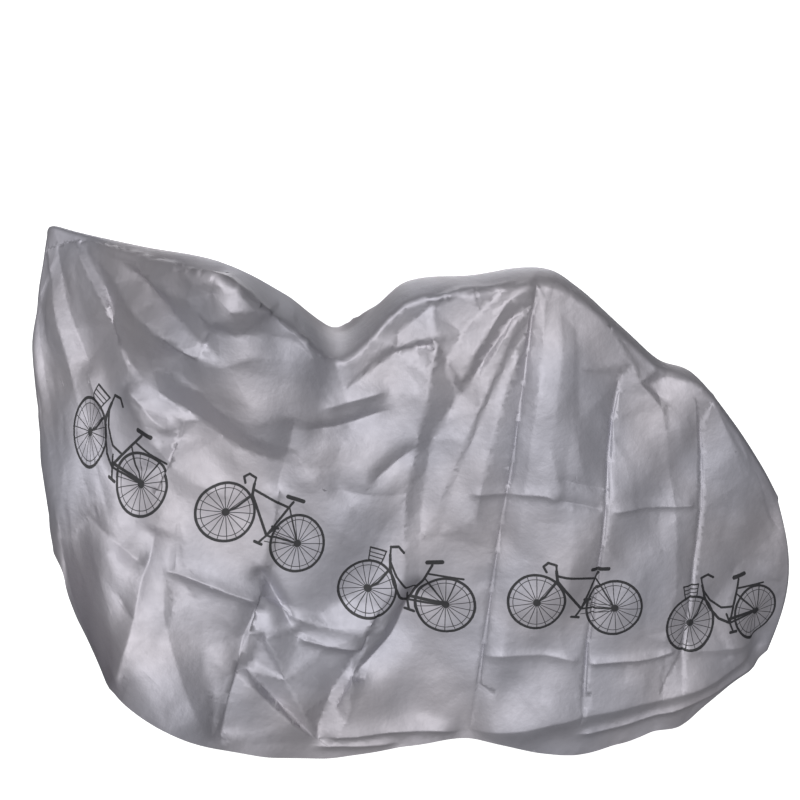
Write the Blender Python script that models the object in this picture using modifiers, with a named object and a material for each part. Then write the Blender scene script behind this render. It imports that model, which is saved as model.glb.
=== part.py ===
"""Bicycle cover: one sheet of PEVA film draped over a bicycle, open at the bottom.

The film is folded over the bicycle along its length and welded up both ends, like a wide pillowcase.
It hangs from the two handlebar grips and the saddle, sags between them and follows the rear wheel down.

The tables are in metres, with X running back from the front axle, Y from the near side (minus) to the
far side (plus) and Z up from the ground. The finished cover is moved so that the origin lies under the
film where the saddle holds it up.
"""

import math

import bmesh
import bpy
import numpy as np
from mathutils import Vector
from mathutils.geometry import delaunay_2d_cdt

# ---------------------------------------------------------------- driving dimensions (metres)
FILM_THICKNESS = 0.002
SADDLE_X = 0.862
SADDLE_UNDERSIDE_Z = 1.007
RIDGE_FADE = 0.060
WELD_FADE = 0.040
FACET_RIDGE_FADE = 0.040
SIDEWAYS_GAIN = 1.6
CREST_ROUNDING = 0.04
FOOT_ROUNDING = 0.45
SAME_PLACE = 1e-5

# ---------------------------------------------------------------- resolution of the solid
COLUMNS = 56
SHOULDER_ROWS = 3
WALL_ROWS = 19
FINER = 4
SHOULDER_ANGLE = math.radians(72.0)

FILM_COLOUR = (0.47, 0.46, 0.50, 1.0)
FILM_ROUGHNESS = 0.42

# ---------------------------------------------------------------- sections, front weld to rear weld
# One row for each section of the drape. The ridge is the top line, where the near and far sides meet.
# The walls run from the ridge to the near hem and to the far hem, which share hem_x. bow bends the
# section back at mid height, belly bends a wall outward, and the shoulder is the rounding at the ridge.
SECTION_COLUMNS = (
    "place", "ridge_x", "ridge_y", "ridge_z", "hem_x", "near_y", "near_z", "far_y", "far_z",
    "bow", "near_belly", "far_belly", "near_out", "far_out", "shoulder_drop",
)
SECTIONS = (
    ("front weld", -0.126, 0.205, 1.022, -0.098, 0.000, 0.500, 0.000, 0.500,
     -0.040, 0.000, 0.000, 0.004, 0.004, 0.010),
    ("front face", -0.122, 0.200, 1.044, -0.090, -0.150, 0.505, 0.150, 0.500,
     -0.038, -0.039, 0.010, 0.008, 0.008, 0.012),
    ("near tyre edge", -0.106, 0.192, 1.052, -0.052, -0.245, 0.500, 0.270, 0.490,
     -0.028, -0.078, 0.012, 0.012, 0.012, 0.014),
    ("axle", -0.066, 0.175, 1.046, -0.012, -0.300, 0.420, 0.330, 0.400,
     -0.010, -0.056, 0.014, 0.016, 0.016, 0.016),
    ("behind the tyre", -0.010, 0.140, 1.042, 0.050, -0.314, 0.262, 0.325, 0.260,
     0.000, -0.024, 0.010, 0.020, 0.020, 0.018),
    ("stem", 0.100, 0.050, 1.044, 0.160, -0.298, 0.155, 0.290, 0.140,
     0.000, -0.016, 0.006, 0.050, 0.022, 0.020),
    ("near grip", 0.255, -0.085, 1.052, 0.300, -0.236, 0.068, 0.250, 0.075,
     0.000, -0.026, -0.010, 0.062, 0.022, 0.020),
    ("before the dip", 0.370, -0.005, 0.962, 0.420, -0.196, 0.032, 0.225, 0.040,
     0.000, 0.007, -0.014, 0.132, 0.030, 0.022),
    ("dip", 0.475, 0.020, 0.874, 0.520, -0.184, 0.036, 0.215, 0.030,
     0.000, 0.018, -0.012, 0.130, 0.040, 0.020),
    ("saddle nose", 0.600, 0.010, 0.978, 0.640, -0.176, 0.050, 0.210, 0.030,
     0.000, 0.002, -0.012, 0.095, 0.046, 0.022),
    ("mid saddle", 0.730, 0.000, 0.996, 0.760, -0.172, 0.054, 0.210, 0.035,
     0.000, 0.020, -0.012, 0.072, 0.058, 0.024),
    ("saddle", 0.862, 0.000, 1.009, 0.875, -0.162, 0.018, 0.205, 0.030,
     0.000, 0.036, -0.010, 0.066, 0.066, 0.026),
    ("behind the saddle", 0.935, 0.000, 0.972, 0.960, -0.158, 0.004, 0.200, 0.020,
     0.000, 0.040, -0.010, 0.056, 0.056, 0.026),
    ("pillion slope", 1.035, 0.000, 0.882, 1.055, -0.140, 0.014, 0.190, 0.016,
     0.000, 0.038, -0.006, 0.044, 0.044, 0.024),
    ("rack", 1.105, 0.000, 0.820, 1.120, -0.124, 0.034, 0.172, 0.030,
     0.000, 0.032, -0.002, 0.040, 0.040, 0.020),
    ("rack end", 1.180, 0.000, 0.786, 1.185, -0.114, 0.044, 0.150, 0.050,
     0.004, 0.022, 0.000, 0.036, 0.036, 0.018),
    ("rear wheel", 1.262, 0.000, 0.690, 1.262, -0.078, 0.096, 0.118, 0.090,
     0.012, 0.010, 0.006, 0.030, 0.030, 0.020),
    ("wheel back", 1.330, 0.000, 0.592, 1.342, -0.034, 0.128, 0.066, 0.122,
     0.024, -0.006, 0.014, 0.020, 0.020, 0.020),
    ("rear weld", 1.372, 0.000, 0.520, 1.388, 0.000, 0.150, 0.000, 0.150,
     0.034, 0.000, 0.000, 0.006, 0.006, 0.014),
)

# ---------------------------------------------------------------- folds
# One row for each fold: how far its crest stands out (or sinks in, where it is minus), how far its flat
# sides reach to the left and to the right of its path, the share of its run over which each end fades,
# and how far its outer lip hangs over to the right. Path points are (x, z). Left and right are as seen
# from the near side by someone who walks along the path.
FOLD_COLUMNS = ("name", "wall", "height", "left", "right", "fade", "hang", "path")
FOLDS = (
    ("corner fold", "near", 0.022, 0.090, 0.045, 0.10, 0.000,
     ((0.72, 0.075), (0.835, 0.09), (0.915, 0.105), (1.055, 0.12), (1.14, 0.13), (1.27, 0.16),
      (1.365, 0.185))),
    ("hem ray", "near", 0.009, 0.014, 0.014, 0.10, 0.000,
     ((0.94, 0.06), (1.02, 0.065), (1.10, 0.08), (1.21, 0.11), (1.37, 0.145))),
    ("second tyre crease", "near", -0.017, 0.030, 0.035, 0.08, 0.000,
     ((0.235, 0.115), (0.245, 0.195), (0.26, 0.25), (0.275, 0.315), (0.295, 0.36), (0.31, 0.395))),
    ("chain hollow", "near", -0.020, 0.020, 0.024, 0.20, 0.000,
     ((0.305, 0.47), (0.34, 0.4), (0.375, 0.33))),
    ("quarter hollow", "near", -0.024, 0.020, 0.045, 0.15, 0.000,
     ((0.485, 0.205), (0.53, 0.245), (0.575, 0.295), (0.6, 0.355), (0.63, 0.425))),
    ("far grip fold", "far", 0.030, 0.080, 0.080, 0.12, 0.000, ((-0.05, 1.00), (0.03, 0.82), (0.06, 0.50))),
    ("far swag", "far", 0.036, 0.050, 0.130, 0.15, 0.010,
     ((0.60, 0.90), (0.46, 0.78), (0.25, 0.84), (0.08, 0.96))),
    ("far front fold", "far", -0.026, 0.080, 0.070, 0.15, 0.000,
     ((0.26, 0.96), (0.22, 0.60), (0.20, 0.20))),
    ("far dip fold", "far", 0.026, 0.080, 0.060, 0.15, 0.000, ((0.46, 0.80), (0.42, 0.50), (0.34, 0.10))),
    ("far nose fold", "far", 0.028, 0.060, 0.070, 0.15, 0.000, ((0.70, 0.92), (0.62, 0.60), (0.56, 0.20))),
    ("far saddle fold", "far", -0.034, 0.060, 0.080, 0.10, 0.000,
     ((0.83, 0.95), (0.80, 0.50), (0.76, 0.10))),
    ("far panel", "far", 0.026, 0.070, 0.080, 0.15, 0.000, ((0.90, 0.93), (0.93, 0.50), (0.94, 0.10))),
    ("far wheel fold", "far", -0.022, 0.060, 0.070, 0.15, 0.000,
     ((1.10, 0.76), (1.12, 0.45), (1.10, 0.12))),
    ("far corner fold", "far", 0.022, 0.030, 0.050, 0.12, 0.000,
     ((1.36, 0.16), (1.22, 0.17), (1.04, 0.11))),
)

# ---------------------------------------------------------------- facets
# Each line is a crease of the near wall, and the film is flat between neighbouring lines. Line points are
# (x, z, how far the film stands out).
FACET_COLUMNS = ("name", "wall", "line")
FACET_LINES = (
    ("front foot", "near", ((-0.133, 0.979, 0.000), (-0.143, 0.91, 0.000), (-0.133, 0.841, 0.000),
     (-0.12, 0.772, 0.000), (-0.097, 0.694, 0.000), (-0.074, 0.622, 0.000), (-0.051, 0.553, 0.000))),
    ("first ridge", "near", ((-0.118, 1.009, 0.006), (-0.108, 0.97, 0.011), (-0.091, 0.916, 0.014),
     (-0.075, 0.863, 0.017), (-0.062, 0.812, 0.015), (-0.048, 0.759, 0.010), (-0.029, 0.698, 0.006),
     (-0.002, 0.623, 0.004), (0.023, 0.548, 0.003))),
    ("first fall", "near", ((-0.095, 1.015, 0.003), (-0.082, 0.97, 0.006), (-0.068, 0.92, 0.006),
     (-0.048, 0.869, 0.008), (-0.034, 0.818, 0.003), (-0.007, 0.765, -0.001), (0.021, 0.701, -0.006),
     (0.051, 0.626, -0.006), (0.082, 0.577, 0.000))),
    ("second ridge", "near", ((-0.061, 1.031, 0.008), (-0.036, 1.004, 0.017), (-0.01, 0.974, 0.022),
     (0.016, 0.947, 0.027), (0.036, 0.923, 0.028), (0.05, 0.902, 0.027))),
    ("third ridge", "near", ((-0.021, 1.034, 0.011), (0.001, 1.001, 0.013), (0.018, 0.965, 0.014),
     (0.034, 0.932, 0.014), (0.044, 0.895, 0.014), (0.059, 0.86, 0.015), (0.075, 0.824, 0.013),
     (0.102, 0.808, 0.010), (0.13, 0.793, 0.003), (0.156, 0.774, -0.007), (0.179, 0.762, -0.013),
     (0.198, 0.749, -0.015), (0.243, 0.723, -0.017), (0.29, 0.702, -0.013), (0.35, 0.68, -0.007),
     (0.396, 0.665, -0.003))),
    ("pocket", "near", ((0.01, 0.992, 0.013), (0.036, 0.969, 0.020), (0.06, 0.948, 0.025),
     (0.085, 0.928, 0.031), (0.101, 0.905, 0.034), (0.113, 0.879, 0.028), (0.126, 0.854, 0.017),
     (0.147, 0.841, 0.008))),
    ("lip edge", "near", ((0.022, 0.998, 0.017), (0.052, 0.977, 0.025), (0.081, 0.957, 0.035),
     (0.109, 0.941, 0.042), (0.144, 0.927, 0.046), (0.171, 0.913, 0.043), (0.201, 0.897, 0.035),
     (0.23, 0.883, 0.022), (0.27, 0.875, 0.015), (0.309, 0.863, 0.010), (0.371, 0.839, 0.004),
     (0.437, 0.816, 0.000))),
    ("lip hollow", "near", ((0.059, 1.017, 0.013), (0.103, 0.996, 0.007), (0.144, 0.971, 0.004),
     (0.177, 0.949, 0.007), (0.207, 0.93, 0.011), (0.231, 0.912, 0.014))),
    ("flap edge", "near", ((0.093, 1.02, 0.020), (0.116, 1.01, 0.024), (0.139, 1.002, 0.025),
     (0.171, 0.994, 0.022), (0.209, 0.994, 0.018))),
    ("flap top", "near", ((0.026, 1.018, 0.010), (0.093, 1.027, 0.014), (0.124, 1.035, 0.013),
     (0.19, 1.044, 0.013), (0.24, 1.043, 0.014), (0.258, 1.038, 0.015), (0.295, 1.016, 0.015),
     (0.33, 0.985, 0.015), (0.347, 0.967, 0.014), (0.381, 0.933, 0.011), (0.403, 0.916, 0.011),
     (0.445, 0.882, 0.004))),
    ("curl", "near", ((0.247, 0.943, 0.014), (0.267, 0.968, 0.021), (0.287, 0.987, 0.024),
     (0.311, 0.987, 0.022), (0.342, 0.973, 0.017))),
    ("fold under", "near", ((0.083, 0.824, 0.008), (0.121, 0.831, 0.011), (0.167, 0.84, 0.015),
     (0.186, 0.824, 0.017), (0.221, 0.815, 0.017), (0.24, 0.787, 0.013), (0.266, 0.763, 0.008),
     (0.306, 0.736, 0.006), (0.35, 0.714, 0.003), (0.397, 0.698, 0.000))),
    ("panel edge", "near", ((-0.025, 0.816, 0.000), (0.028, 0.803, 0.006), (0.059, 0.791, 0.011),
     (0.083, 0.765, 0.014), (0.105, 0.728, 0.014), (0.127, 0.687, 0.011), (0.146, 0.658, 0.006))),
    ("left low foot", "near", ((0.146, 0.658, 0.006), (0.112, 0.598, 0.000), (0.082, 0.577, 0.000))),
    ("rim low", "near", ((-0.051, 0.553, 0.000), (0.007, 0.487, 0.000), (0.062, 0.514, 0.000),
     (0.162, 0.555, 0.000), (0.261, 0.601, 0.000), (0.357, 0.623, 0.000), (0.453, 0.656, 0.000),
     (0.492, 0.73, 0.000), (0.484, 0.807, 0.000), (0.466, 0.863, 0.000), (0.464, 0.873, 0.000),
     (0.445, 0.884, 0.000))),
    ("hood edge", "near", ((0.649, 0.903, 0.012), (0.655, 0.878, 0.016), (0.644, 0.832, 0.020),
     (0.639, 0.79, 0.022), (0.625, 0.731, 0.019), (0.61, 0.65, 0.017), (0.596, 0.587, 0.016),
     (0.591, 0.504, 0.014), (0.59, 0.424, 0.013), (0.52, 0.325, 0.016), (0.488, 0.211, 0.016),
     (0.476, 0.117, 0.008))),
    ("hood foot", "near", ((0.667, 0.887, 0.002), (0.677, 0.853, -0.002), (0.689, 0.815, -0.004),
     (0.694, 0.78, -0.005), (0.673, 0.742, 0.000), (0.649, 0.702, 0.004), (0.639, 0.643, 0.006),
     (0.633, 0.582, 0.006), (0.626, 0.499, 0.006), (0.622, 0.419, 0.007), (0.552, 0.313, 0.011),
     (0.517, 0.204, 0.012), (0.495, 0.109, 0.007))),
    ("low hollow", "near", ((0.557, 0.463, 0.002), (0.492, 0.381, -0.008), (0.425, 0.354, -0.003))),
    ("gather left", "near", ((0.138, 0.617, 0.000), (0.127, 0.567, 0.004), (0.107, 0.481, 0.005),
     (0.076, 0.37, 0.005), (0.054, 0.257, 0.000))),
    ("gather corner", "near", ((0.129, 0.469, 0.003), (0.178, 0.449, 0.007), (0.245, 0.428, 0.011),
     (0.313, 0.409, 0.013), (0.289, 0.328, 0.015), (0.254, 0.255, 0.015), (0.243, 0.193, 0.010),
     (0.242, 0.124, 0.000))),
    ("gather shade", "near", ((0.188, 0.404, 0.002), (0.204, 0.305, -0.005), (0.218, 0.225, -0.008),
     (0.218, 0.135, 0.000))),
    ("gather ray one", "near", ((0.259, 0.253, 0.014), (0.307, 0.198, 0.014), (0.365, 0.131, 0.011),
     (0.411, 0.082, 0.002))),
    ("gather ray two", "near", ((0.312, 0.403, 0.009), (0.32, 0.315, 0.012), (0.355, 0.226, 0.013),
     (0.389, 0.149, 0.009), (0.411, 0.082, 0.002))),
    ("gather level", "near", ((0.316, 0.402, 0.008), (0.376, 0.355, 0.008), (0.447, 0.329, 0.007),
     (0.52, 0.309, 0.006), (0.555, 0.3, 0.006))),
    ("gather wedge", "near", ((0.545, 0.363, 0.010), (0.518, 0.28, 0.004), (0.488, 0.212, -0.002),
     (0.457, 0.147, -0.004), (0.418, 0.079, 0.000))),
    ("ray two hollow", "near", ((0.84, 0.96, -0.005), (0.804, 0.94, -0.005), (0.779, 0.905, -0.004),
     (0.753, 0.867, -0.004), (0.728, 0.824, -0.003), (0.706, 0.792, -0.005), (0.694, 0.78, -0.005))),
    ("long ray", "near", ((0.826, 0.94, -0.002), (0.793, 0.888, 0.005), (0.768, 0.829, 0.008),
     (0.739, 0.764, 0.010), (0.714, 0.704, 0.010), (0.693, 0.649, 0.010), (0.666, 0.583, 0.009),
     (0.634, 0.51, 0.007))),
    ("saddle valley", "near", ((0.847, 1.0, -0.003), (0.842, 0.947, -0.010), (0.833, 0.876, -0.011),
     (0.824, 0.812, -0.012), (0.814, 0.74, -0.012), (0.807, 0.661, -0.012), (0.797, 0.611, -0.012),
     (0.786, 0.533, -0.011), (0.779, 0.476, -0.011), (0.769, 0.389, -0.011), (0.756, 0.279, -0.010),
     (0.746, 0.188, -0.010), (0.73, 0.076, -0.003))),
    ("strip left", "near", ((0.868, 0.969, 0.001), (0.861, 0.886, 0.003), (0.853, 0.811, 0.004),
     (0.845, 0.735, 0.004), (0.837, 0.655, 0.004), (0.828, 0.586, 0.004), (0.819, 0.482, 0.003),
     (0.807, 0.374, 0.002), (0.793, 0.274, 0.002), (0.782, 0.17, 0.000))),
    ("strip edge", "near", ((0.895, 0.946, 0.003), (0.895, 0.875, 0.005), (0.891, 0.81, 0.006),
     (0.882, 0.725, 0.006), (0.876, 0.656, 0.006), (0.871, 0.547, 0.005), (0.864, 0.463, 0.004),
     (0.855, 0.332, 0.003), (0.852, 0.168, 0.001))),
    ("panel hollow", "near", ((0.924, 0.909, 0.000), (0.932, 0.833, 0.001), (0.934, 0.738, 0.002),
     (0.929, 0.652, 0.002), (0.925, 0.543, 0.001), (0.92, 0.416, 0.001), (0.909, 0.284, 0.001))),
    ("rear valley", "near", ((1.015, 0.806, -0.003), (1.007, 0.731, -0.012), (0.999, 0.651, -0.013),
     (0.993, 0.571, -0.013), (0.986, 0.49, -0.013), (0.981, 0.384, -0.012), (0.969, 0.274, -0.011),
     (0.963, 0.156, -0.009), (0.956, 0.083, -0.002))),
    ("rear valley edge", "near", ((1.022, 0.818, 0.001), (1.018, 0.786, -0.001), (1.018, 0.728, -0.004),
     (1.012, 0.66, -0.005), (1.006, 0.572, -0.005), (1.0, 0.491, -0.005), (0.994, 0.386, -0.004),
     (0.984, 0.275, -0.004), (0.977, 0.159, -0.002))),
    ("bulge edge", "near", ((1.039, 0.833, 0.008), (1.054, 0.795, 0.010), (1.079, 0.768, 0.011),
     (1.1, 0.741, 0.010), (1.111, 0.696, 0.009), (1.119, 0.64, 0.008), (1.135, 0.564, 0.007),
     (1.144, 0.475, 0.006), (1.145, 0.368, 0.005), (1.127, 0.258, 0.005), (1.117, 0.139, 0.003))),
    ("wheel valley", "near", ((1.169, 0.761, -0.001), (1.187, 0.7, -0.006), (1.194, 0.645, -0.007),
     (1.197, 0.584, -0.007), (1.198, 0.526, -0.007), (1.195, 0.463, -0.007), (1.185, 0.357, -0.007),
     (1.171, 0.234, -0.007), (1.168, 0.13, -0.002))),
    ("rim right", "near", ((1.18, 0.786, 0.000), (1.257, 0.696, 0.000), (1.313, 0.617, 0.000),
     (1.371, 0.514, 0.000), (1.405, 0.373, 0.000), (1.406, 0.229, 0.000), (1.379, 0.145, 0.000))),
    ("rim low right", "near", ((1.379, 0.145, 0.000), (1.187, 0.045, 0.000), (1.002, 0.006, 0.000),
     (0.793, 0.046, 0.000), (0.586, 0.048, 0.000), (0.443, 0.059, 0.000), (0.284, 0.096, 0.000))),
)


def smooth_columns(rows, steps):
    """The numeric columns of rows at steps + 1 evenly spaced places, as a smooth curve through them."""
    knots = np.array([row[1:] for row in rows], dtype=float)
    slopes = np.gradient(knots, axis=0)
    places = np.linspace(0.0, len(rows) - 1.0, steps + 1)
    first = np.minimum(places.astype(int), len(rows) - 2)
    t = (places - first)[:, None]
    start, end = knots[first], knots[first + 1]
    start_slope, end_slope = slopes[first], slopes[first + 1]
    return (
        (2 * t**3 - 3 * t**2 + 1) * start + (t**3 - 2 * t**2 + t) * start_slope
        + (3 * t**2 - 2 * t**3) * end + (t**3 - t**2) * end_slope
    )


def smoothstep(value):
    """0 up to value 0, 1 from value 1, and an S-curve between them."""
    t = np.clip(value, 0.0, 1.0)
    return t * t * (3.0 - 2.0 * t)


def plain_wall(side, columns, shoulder_rows, wall_rows):
    """A wall without its folds, as a grid of points: [column][row] from the ridge down to the hem."""
    section = dict(zip(SECTION_COLUMNS[1:], smooth_columns(SECTIONS, columns).T[:, :, None]))
    outward = -1.0 if side == "near" else 1.0
    row = np.arange(shoulder_rows + wall_rows + 1)[None, :]
    angle = SHOULDER_ANGLE * np.minimum(row / shoulder_rows, 1.0)
    down = np.maximum(row - shoulder_rows, 0) / wall_rows
    bulge = np.sin(math.pi * down)
    top_y = section["ridge_y"] + outward * section[side + "_out"] * np.sin(angle)
    top_z = section["ridge_z"] - section["shoulder_drop"] * (1.0 - np.cos(angle))
    return np.stack((
        section["ridge_x"] + (section["hem_x"] - section["ridge_x"]) * down + section["bow"] * bulge,
        top_y + (section[side + "_y"] - top_y) * down + outward * section[side + "_belly"] * bulge,
        top_z + (section[side + "_z"] - top_z) * down,
    ), axis=-1)


def outward_normals(points, side):
    """The direction away from the bicycle at each point of a wall."""
    along = np.gradient(points, axis=0)
    down = np.gradient(points, axis=1)
    normals = np.cross(along, down)
    normals /= np.linalg.norm(normals, axis=-1, keepdims=True)
    return -normals if side == "near" else normals


def path_places(x, z, corners):
    """Where each (x, z) lies by a path: signed distance (left is plus), the share passed, and the run."""
    lengths = np.linalg.norm(np.diff(corners, axis=0), axis=1)
    passed = np.concatenate(((0.0,), np.cumsum(lengths)))
    nearest = np.full(x.shape, np.inf)
    signed, along, run_to_x, run_to_z = (np.zeros(x.shape) for _ in range(4))
    for start, end, length, before in zip(corners[:-1], corners[1:], lengths, passed[:-1]):
        run_x, run_z = (end - start) / length
        reached = np.clip((x - start[0]) * run_x + (z - start[1]) * run_z, 0.0, length)
        gap_x = x - start[0] - run_x * reached
        gap_z = z - start[1] - run_z * reached
        distance = np.hypot(gap_x, gap_z)
        closer = distance < nearest
        nearest = np.where(closer, distance, nearest)
        signed = np.where(closer, distance * np.sign(run_x * gap_z - run_z * gap_x), signed)
        along = np.where(closer, (before + reached) / passed[-1], along)
        run_to_x = np.where(closer, run_x, run_to_x)
        run_to_z = np.where(closer, run_z, run_to_z)
    return signed, along, run_to_x, run_to_z


def fold_move(x, z, fold):
    """How far one fold moves the film at each (x, z): outward, and sideways along x and z."""
    signed, along, run_x, run_z = path_places(x, z, np.array(fold["path"]))
    away = np.abs(signed) / np.where(signed > 0.0, fold["left"], fold["right"])
    flat_side = 1.0 + CREST_ROUNDING - np.hypot(away, CREST_ROUNDING)
    crest = (flat_side + np.hypot(flat_side, FOOT_ROUNDING)) / 2.0
    ends = smoothstep(along / fold["fade"]) * smoothstep((1.0 - along) / fold["fade"])
    slide = fold["hang"] * ends * crest
    return np.stack((fold["height"] * crest * ends, slide * run_z, -slide * run_x))


def crossing_level(place, corners, heights, edges):
    """How far the film stands out where two facet lines cross."""
    level, nearest = 0.0, np.inf
    for start, end in edges:
        run = corners[end] - corners[start]
        share = np.clip(np.dot(place - corners[start], run) / np.dot(run, run), 0.0, 1.0)
        gap = np.linalg.norm(place - corners[start] - share * run)
        if gap < nearest:
            level, nearest = heights[start] + share * (heights[end] - heights[start]), gap
    return level


def wall_facets(side):
    """The flat facets of a wall: their corners (x, z), how far each stands out, and the facets."""
    corners = []
    heights = []
    edges = []
    for row in FACET_LINES:
        facet_line = dict(zip(FACET_COLUMNS, row))
        if facet_line["wall"] != side:
            continue
        before = None
        for *corner, height in facet_line["line"]:
            number = corners.index(corner) if corner in corners else len(corners)
            if number == len(corners):
                corners.append(corner)
                heights.append(height)
            if before is not None:
                edges.append((before, number))
            before = number
    if not corners:
        return np.empty((0, 2)), np.empty(0), []
    flat = delaunay_2d_cdt([Vector(corner) for corner in corners], edges, [], 0, SAME_PLACE, True)
    places = np.array([tuple(place) for place in flat[0]])
    corners = np.array(corners)
    levels = np.array([
        heights[sources[0]] if sources else crossing_level(place, corners, heights, edges)
        for place, sources in zip(places, flat[3])
    ])
    return places, levels, flat[2]


def facet_height(x, z, corners, heights, facets):
    """How far the facets stand out at each (x, z), and 0 beyond them."""
    result = np.zeros(x.shape)
    for facet in facets:
        a, b, c = corners[facet]
        area = (b[0] - a[0]) * (c[1] - a[1]) - (c[0] - a[0]) * (b[1] - a[1])
        share_b = ((x - a[0]) * (c[1] - a[1]) - (z - a[1]) * (c[0] - a[0])) / area
        share_c = ((z - a[1]) * (b[0] - a[0]) - (x - a[0]) * (b[1] - a[1])) / area
        inside = (share_b >= 0.0) & (share_c >= 0.0) & (share_b + share_c <= 1.0)
        at_a, at_b, at_c = heights[facet]
        result = np.where(inside, at_a + share_b * (at_b - at_a) + share_c * (at_c - at_a), result)
    return result


def averaged(grid):
    """A finer grid averaged around each point of the solid's grid."""
    for axis in (0, 1):
        grid = np.moveaxis(grid, axis, 0)
        padded = np.concatenate((np.repeat(grid[:1], FINER // 2, axis=0), grid,
                                 np.repeat(grid[-1:], FINER // 2, axis=0)))
        sums = sum(padded[step:step + len(grid)] for step in range(FINER + 1))
        grid = np.moveaxis((sums / (FINER + 1))[::FINER], 0, axis)
    return grid


def folded_wall(side):
    """A wall with its folds and facets, which run out at the ridge and at the two end welds."""
    points = plain_wall(side, COLUMNS * FINER, SHOULDER_ROWS * FINER, WALL_ROWS * FINER)
    normals = outward_normals(points, side)
    x, z = points[..., 0], points[..., 2]
    outward, slide_x, slide_z = sum(
        fold_move(x, z, fold)
        for fold in (dict(zip(FOLD_COLUMNS, row)) for row in FOLDS)
        if fold["wall"] == side
    )
    sideways = np.clip(SIDEWAYS_GAIN * np.abs(normals[..., 1]), 0.0, 1.0)
    below_ridge = np.linalg.norm(points - points[:, :1], axis=-1)
    from_weld = np.minimum(
        np.linalg.norm(points - points[:1], axis=-1), np.linalg.norm(points - points[-1:], axis=-1))
    fade = smoothstep(below_ridge / RIDGE_FADE) * smoothstep(from_weld / WELD_FADE)
    facets = facet_height(x, z, *wall_facets(side)) * smoothstep(below_ridge / FACET_RIDGE_FADE)
    outward = (outward * fade + facets) * sideways
    slide = np.stack((slide_x, np.zeros(x.shape), slide_z), axis=-1) * fade[..., None]
    move = averaged(normals * outward[..., None] + slide)
    folded = points[::FINER, ::FINER] + move
    folded[:, 0] = points[::FINER, 0]
    for end in (0, -1):
        folded[end] = points[::FINER, ::FINER][end]
    return folded


def build_cover():
    """Join the two walls at the ridge and the welds, and give the film its thickness."""
    walls = {side: folded_wall(side) for side in ("near", "far")}
    lift = np.array((-SADDLE_X, 0.0, -SADDLE_UNDERSIDE_Z))
    columns, rows = walls["near"].shape[:2]
    shape = bmesh.new()
    near = [[shape.verts.new(walls["near"][c, r] + lift) for r in range(rows)] for c in range(columns)]
    far = [
        [
            near[c][r] if r == 0 or c in (0, columns - 1) else shape.verts.new(walls["far"][c, r] + lift)
            for r in range(rows)
        ]
        for c in range(columns)
    ]
    for c in range(columns - 1):
        for r in range(rows - 1):
            shape.faces.new((near[c][r], near[c][r + 1], near[c + 1][r + 1], near[c + 1][r]))
            shape.faces.new((far[c][r], far[c + 1][r], far[c + 1][r + 1], far[c][r + 1]))
    mesh = bpy.data.meshes.new("cover")
    shape.to_mesh(mesh)
    shape.free()
    mesh.shade_smooth()
    cover = bpy.data.objects.new("cover", mesh)
    film = cover.modifiers.new("film thickness", "SOLIDIFY")
    film.thickness = FILM_THICKNESS
    film.offset = -1.0
    film.use_even_offset = True
    return cover


def film_material():
    """Silver-grey PEVA film with a satin surface."""
    material = bpy.data.materials.new("cover")
    material.use_nodes = True
    surface = material.node_tree.nodes["Principled BSDF"]
    surface.inputs["Base Color"].default_value = FILM_COLOUR
    surface.inputs["Roughness"].default_value = FILM_ROUGHNESS
    surface.inputs["Metallic"].default_value = 0.0
    return material


def main():
    for leftover in list(bpy.data.objects):
        bpy.data.objects.remove(leftover, do_unlink=True)
    collection = bpy.data.collections.new("bicycle cover")
    bpy.context.scene.collection.children.link(collection)
    cover = build_cover()
    cover.data.materials.append(film_material())
    collection.objects.link(cover)


main()
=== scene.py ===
"""Looks of the bicycle cover: a thin sheet of silver-grey film with folds and a printed band.

X runs back from the front axle, Y from the near side (minus) to the far side (plus) and Z up from
the ground. Tables of places are in whole millimetres, and all other lengths are in metres. The
finished sheet is moved into the frame, whose origin lies under the film at the saddle.
"""

import math

import bpy
import numpy as np
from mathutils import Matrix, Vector
from mathutils.geometry import delaunay_2d_cdt
from mathutils.kdtree import KDTree


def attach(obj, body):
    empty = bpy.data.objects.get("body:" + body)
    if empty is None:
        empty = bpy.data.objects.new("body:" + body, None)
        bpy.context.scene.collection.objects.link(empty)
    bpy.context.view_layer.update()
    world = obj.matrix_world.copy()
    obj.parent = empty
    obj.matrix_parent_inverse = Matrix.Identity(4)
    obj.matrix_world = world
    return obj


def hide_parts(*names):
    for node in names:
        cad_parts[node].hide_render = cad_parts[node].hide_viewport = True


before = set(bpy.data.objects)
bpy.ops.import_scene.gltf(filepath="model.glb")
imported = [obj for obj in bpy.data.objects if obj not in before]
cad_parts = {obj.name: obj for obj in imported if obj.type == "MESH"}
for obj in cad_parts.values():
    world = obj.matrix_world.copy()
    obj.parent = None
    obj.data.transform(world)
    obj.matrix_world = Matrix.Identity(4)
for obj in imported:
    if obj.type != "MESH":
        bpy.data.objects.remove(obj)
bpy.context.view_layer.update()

# ---------------------------------------------------------------- driving dimensions (metres)
MM = 1000.0  # millimetres in a metre
SADDLE_X = 0.862
SADDLE_UNDERSIDE_Z = 1.007
TO_FRAME = np.array((-SADDLE_X, 0.0, -SADDLE_UNDERSIDE_Z))
# Folds grow from nothing to their full height over these lengths from the ridge and the end welds.
RIDGE_FADE = 0.060
WELD_FADE = 0.040
FACET_RIDGE_FADE = 0.040
# A fold has its full height until the sideways share of the wall's normal is under 1 / this gain.
SIDEWAYS_GAIN = 1.6
# How round a fold is: its crest as a share of its reach, and its foot as a share of its height.
CREST_ROUNDING = 0.04
FOOT_ROUNDING = 0.45
SHOULDER_ANGLE = math.radians(72.0)

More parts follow.
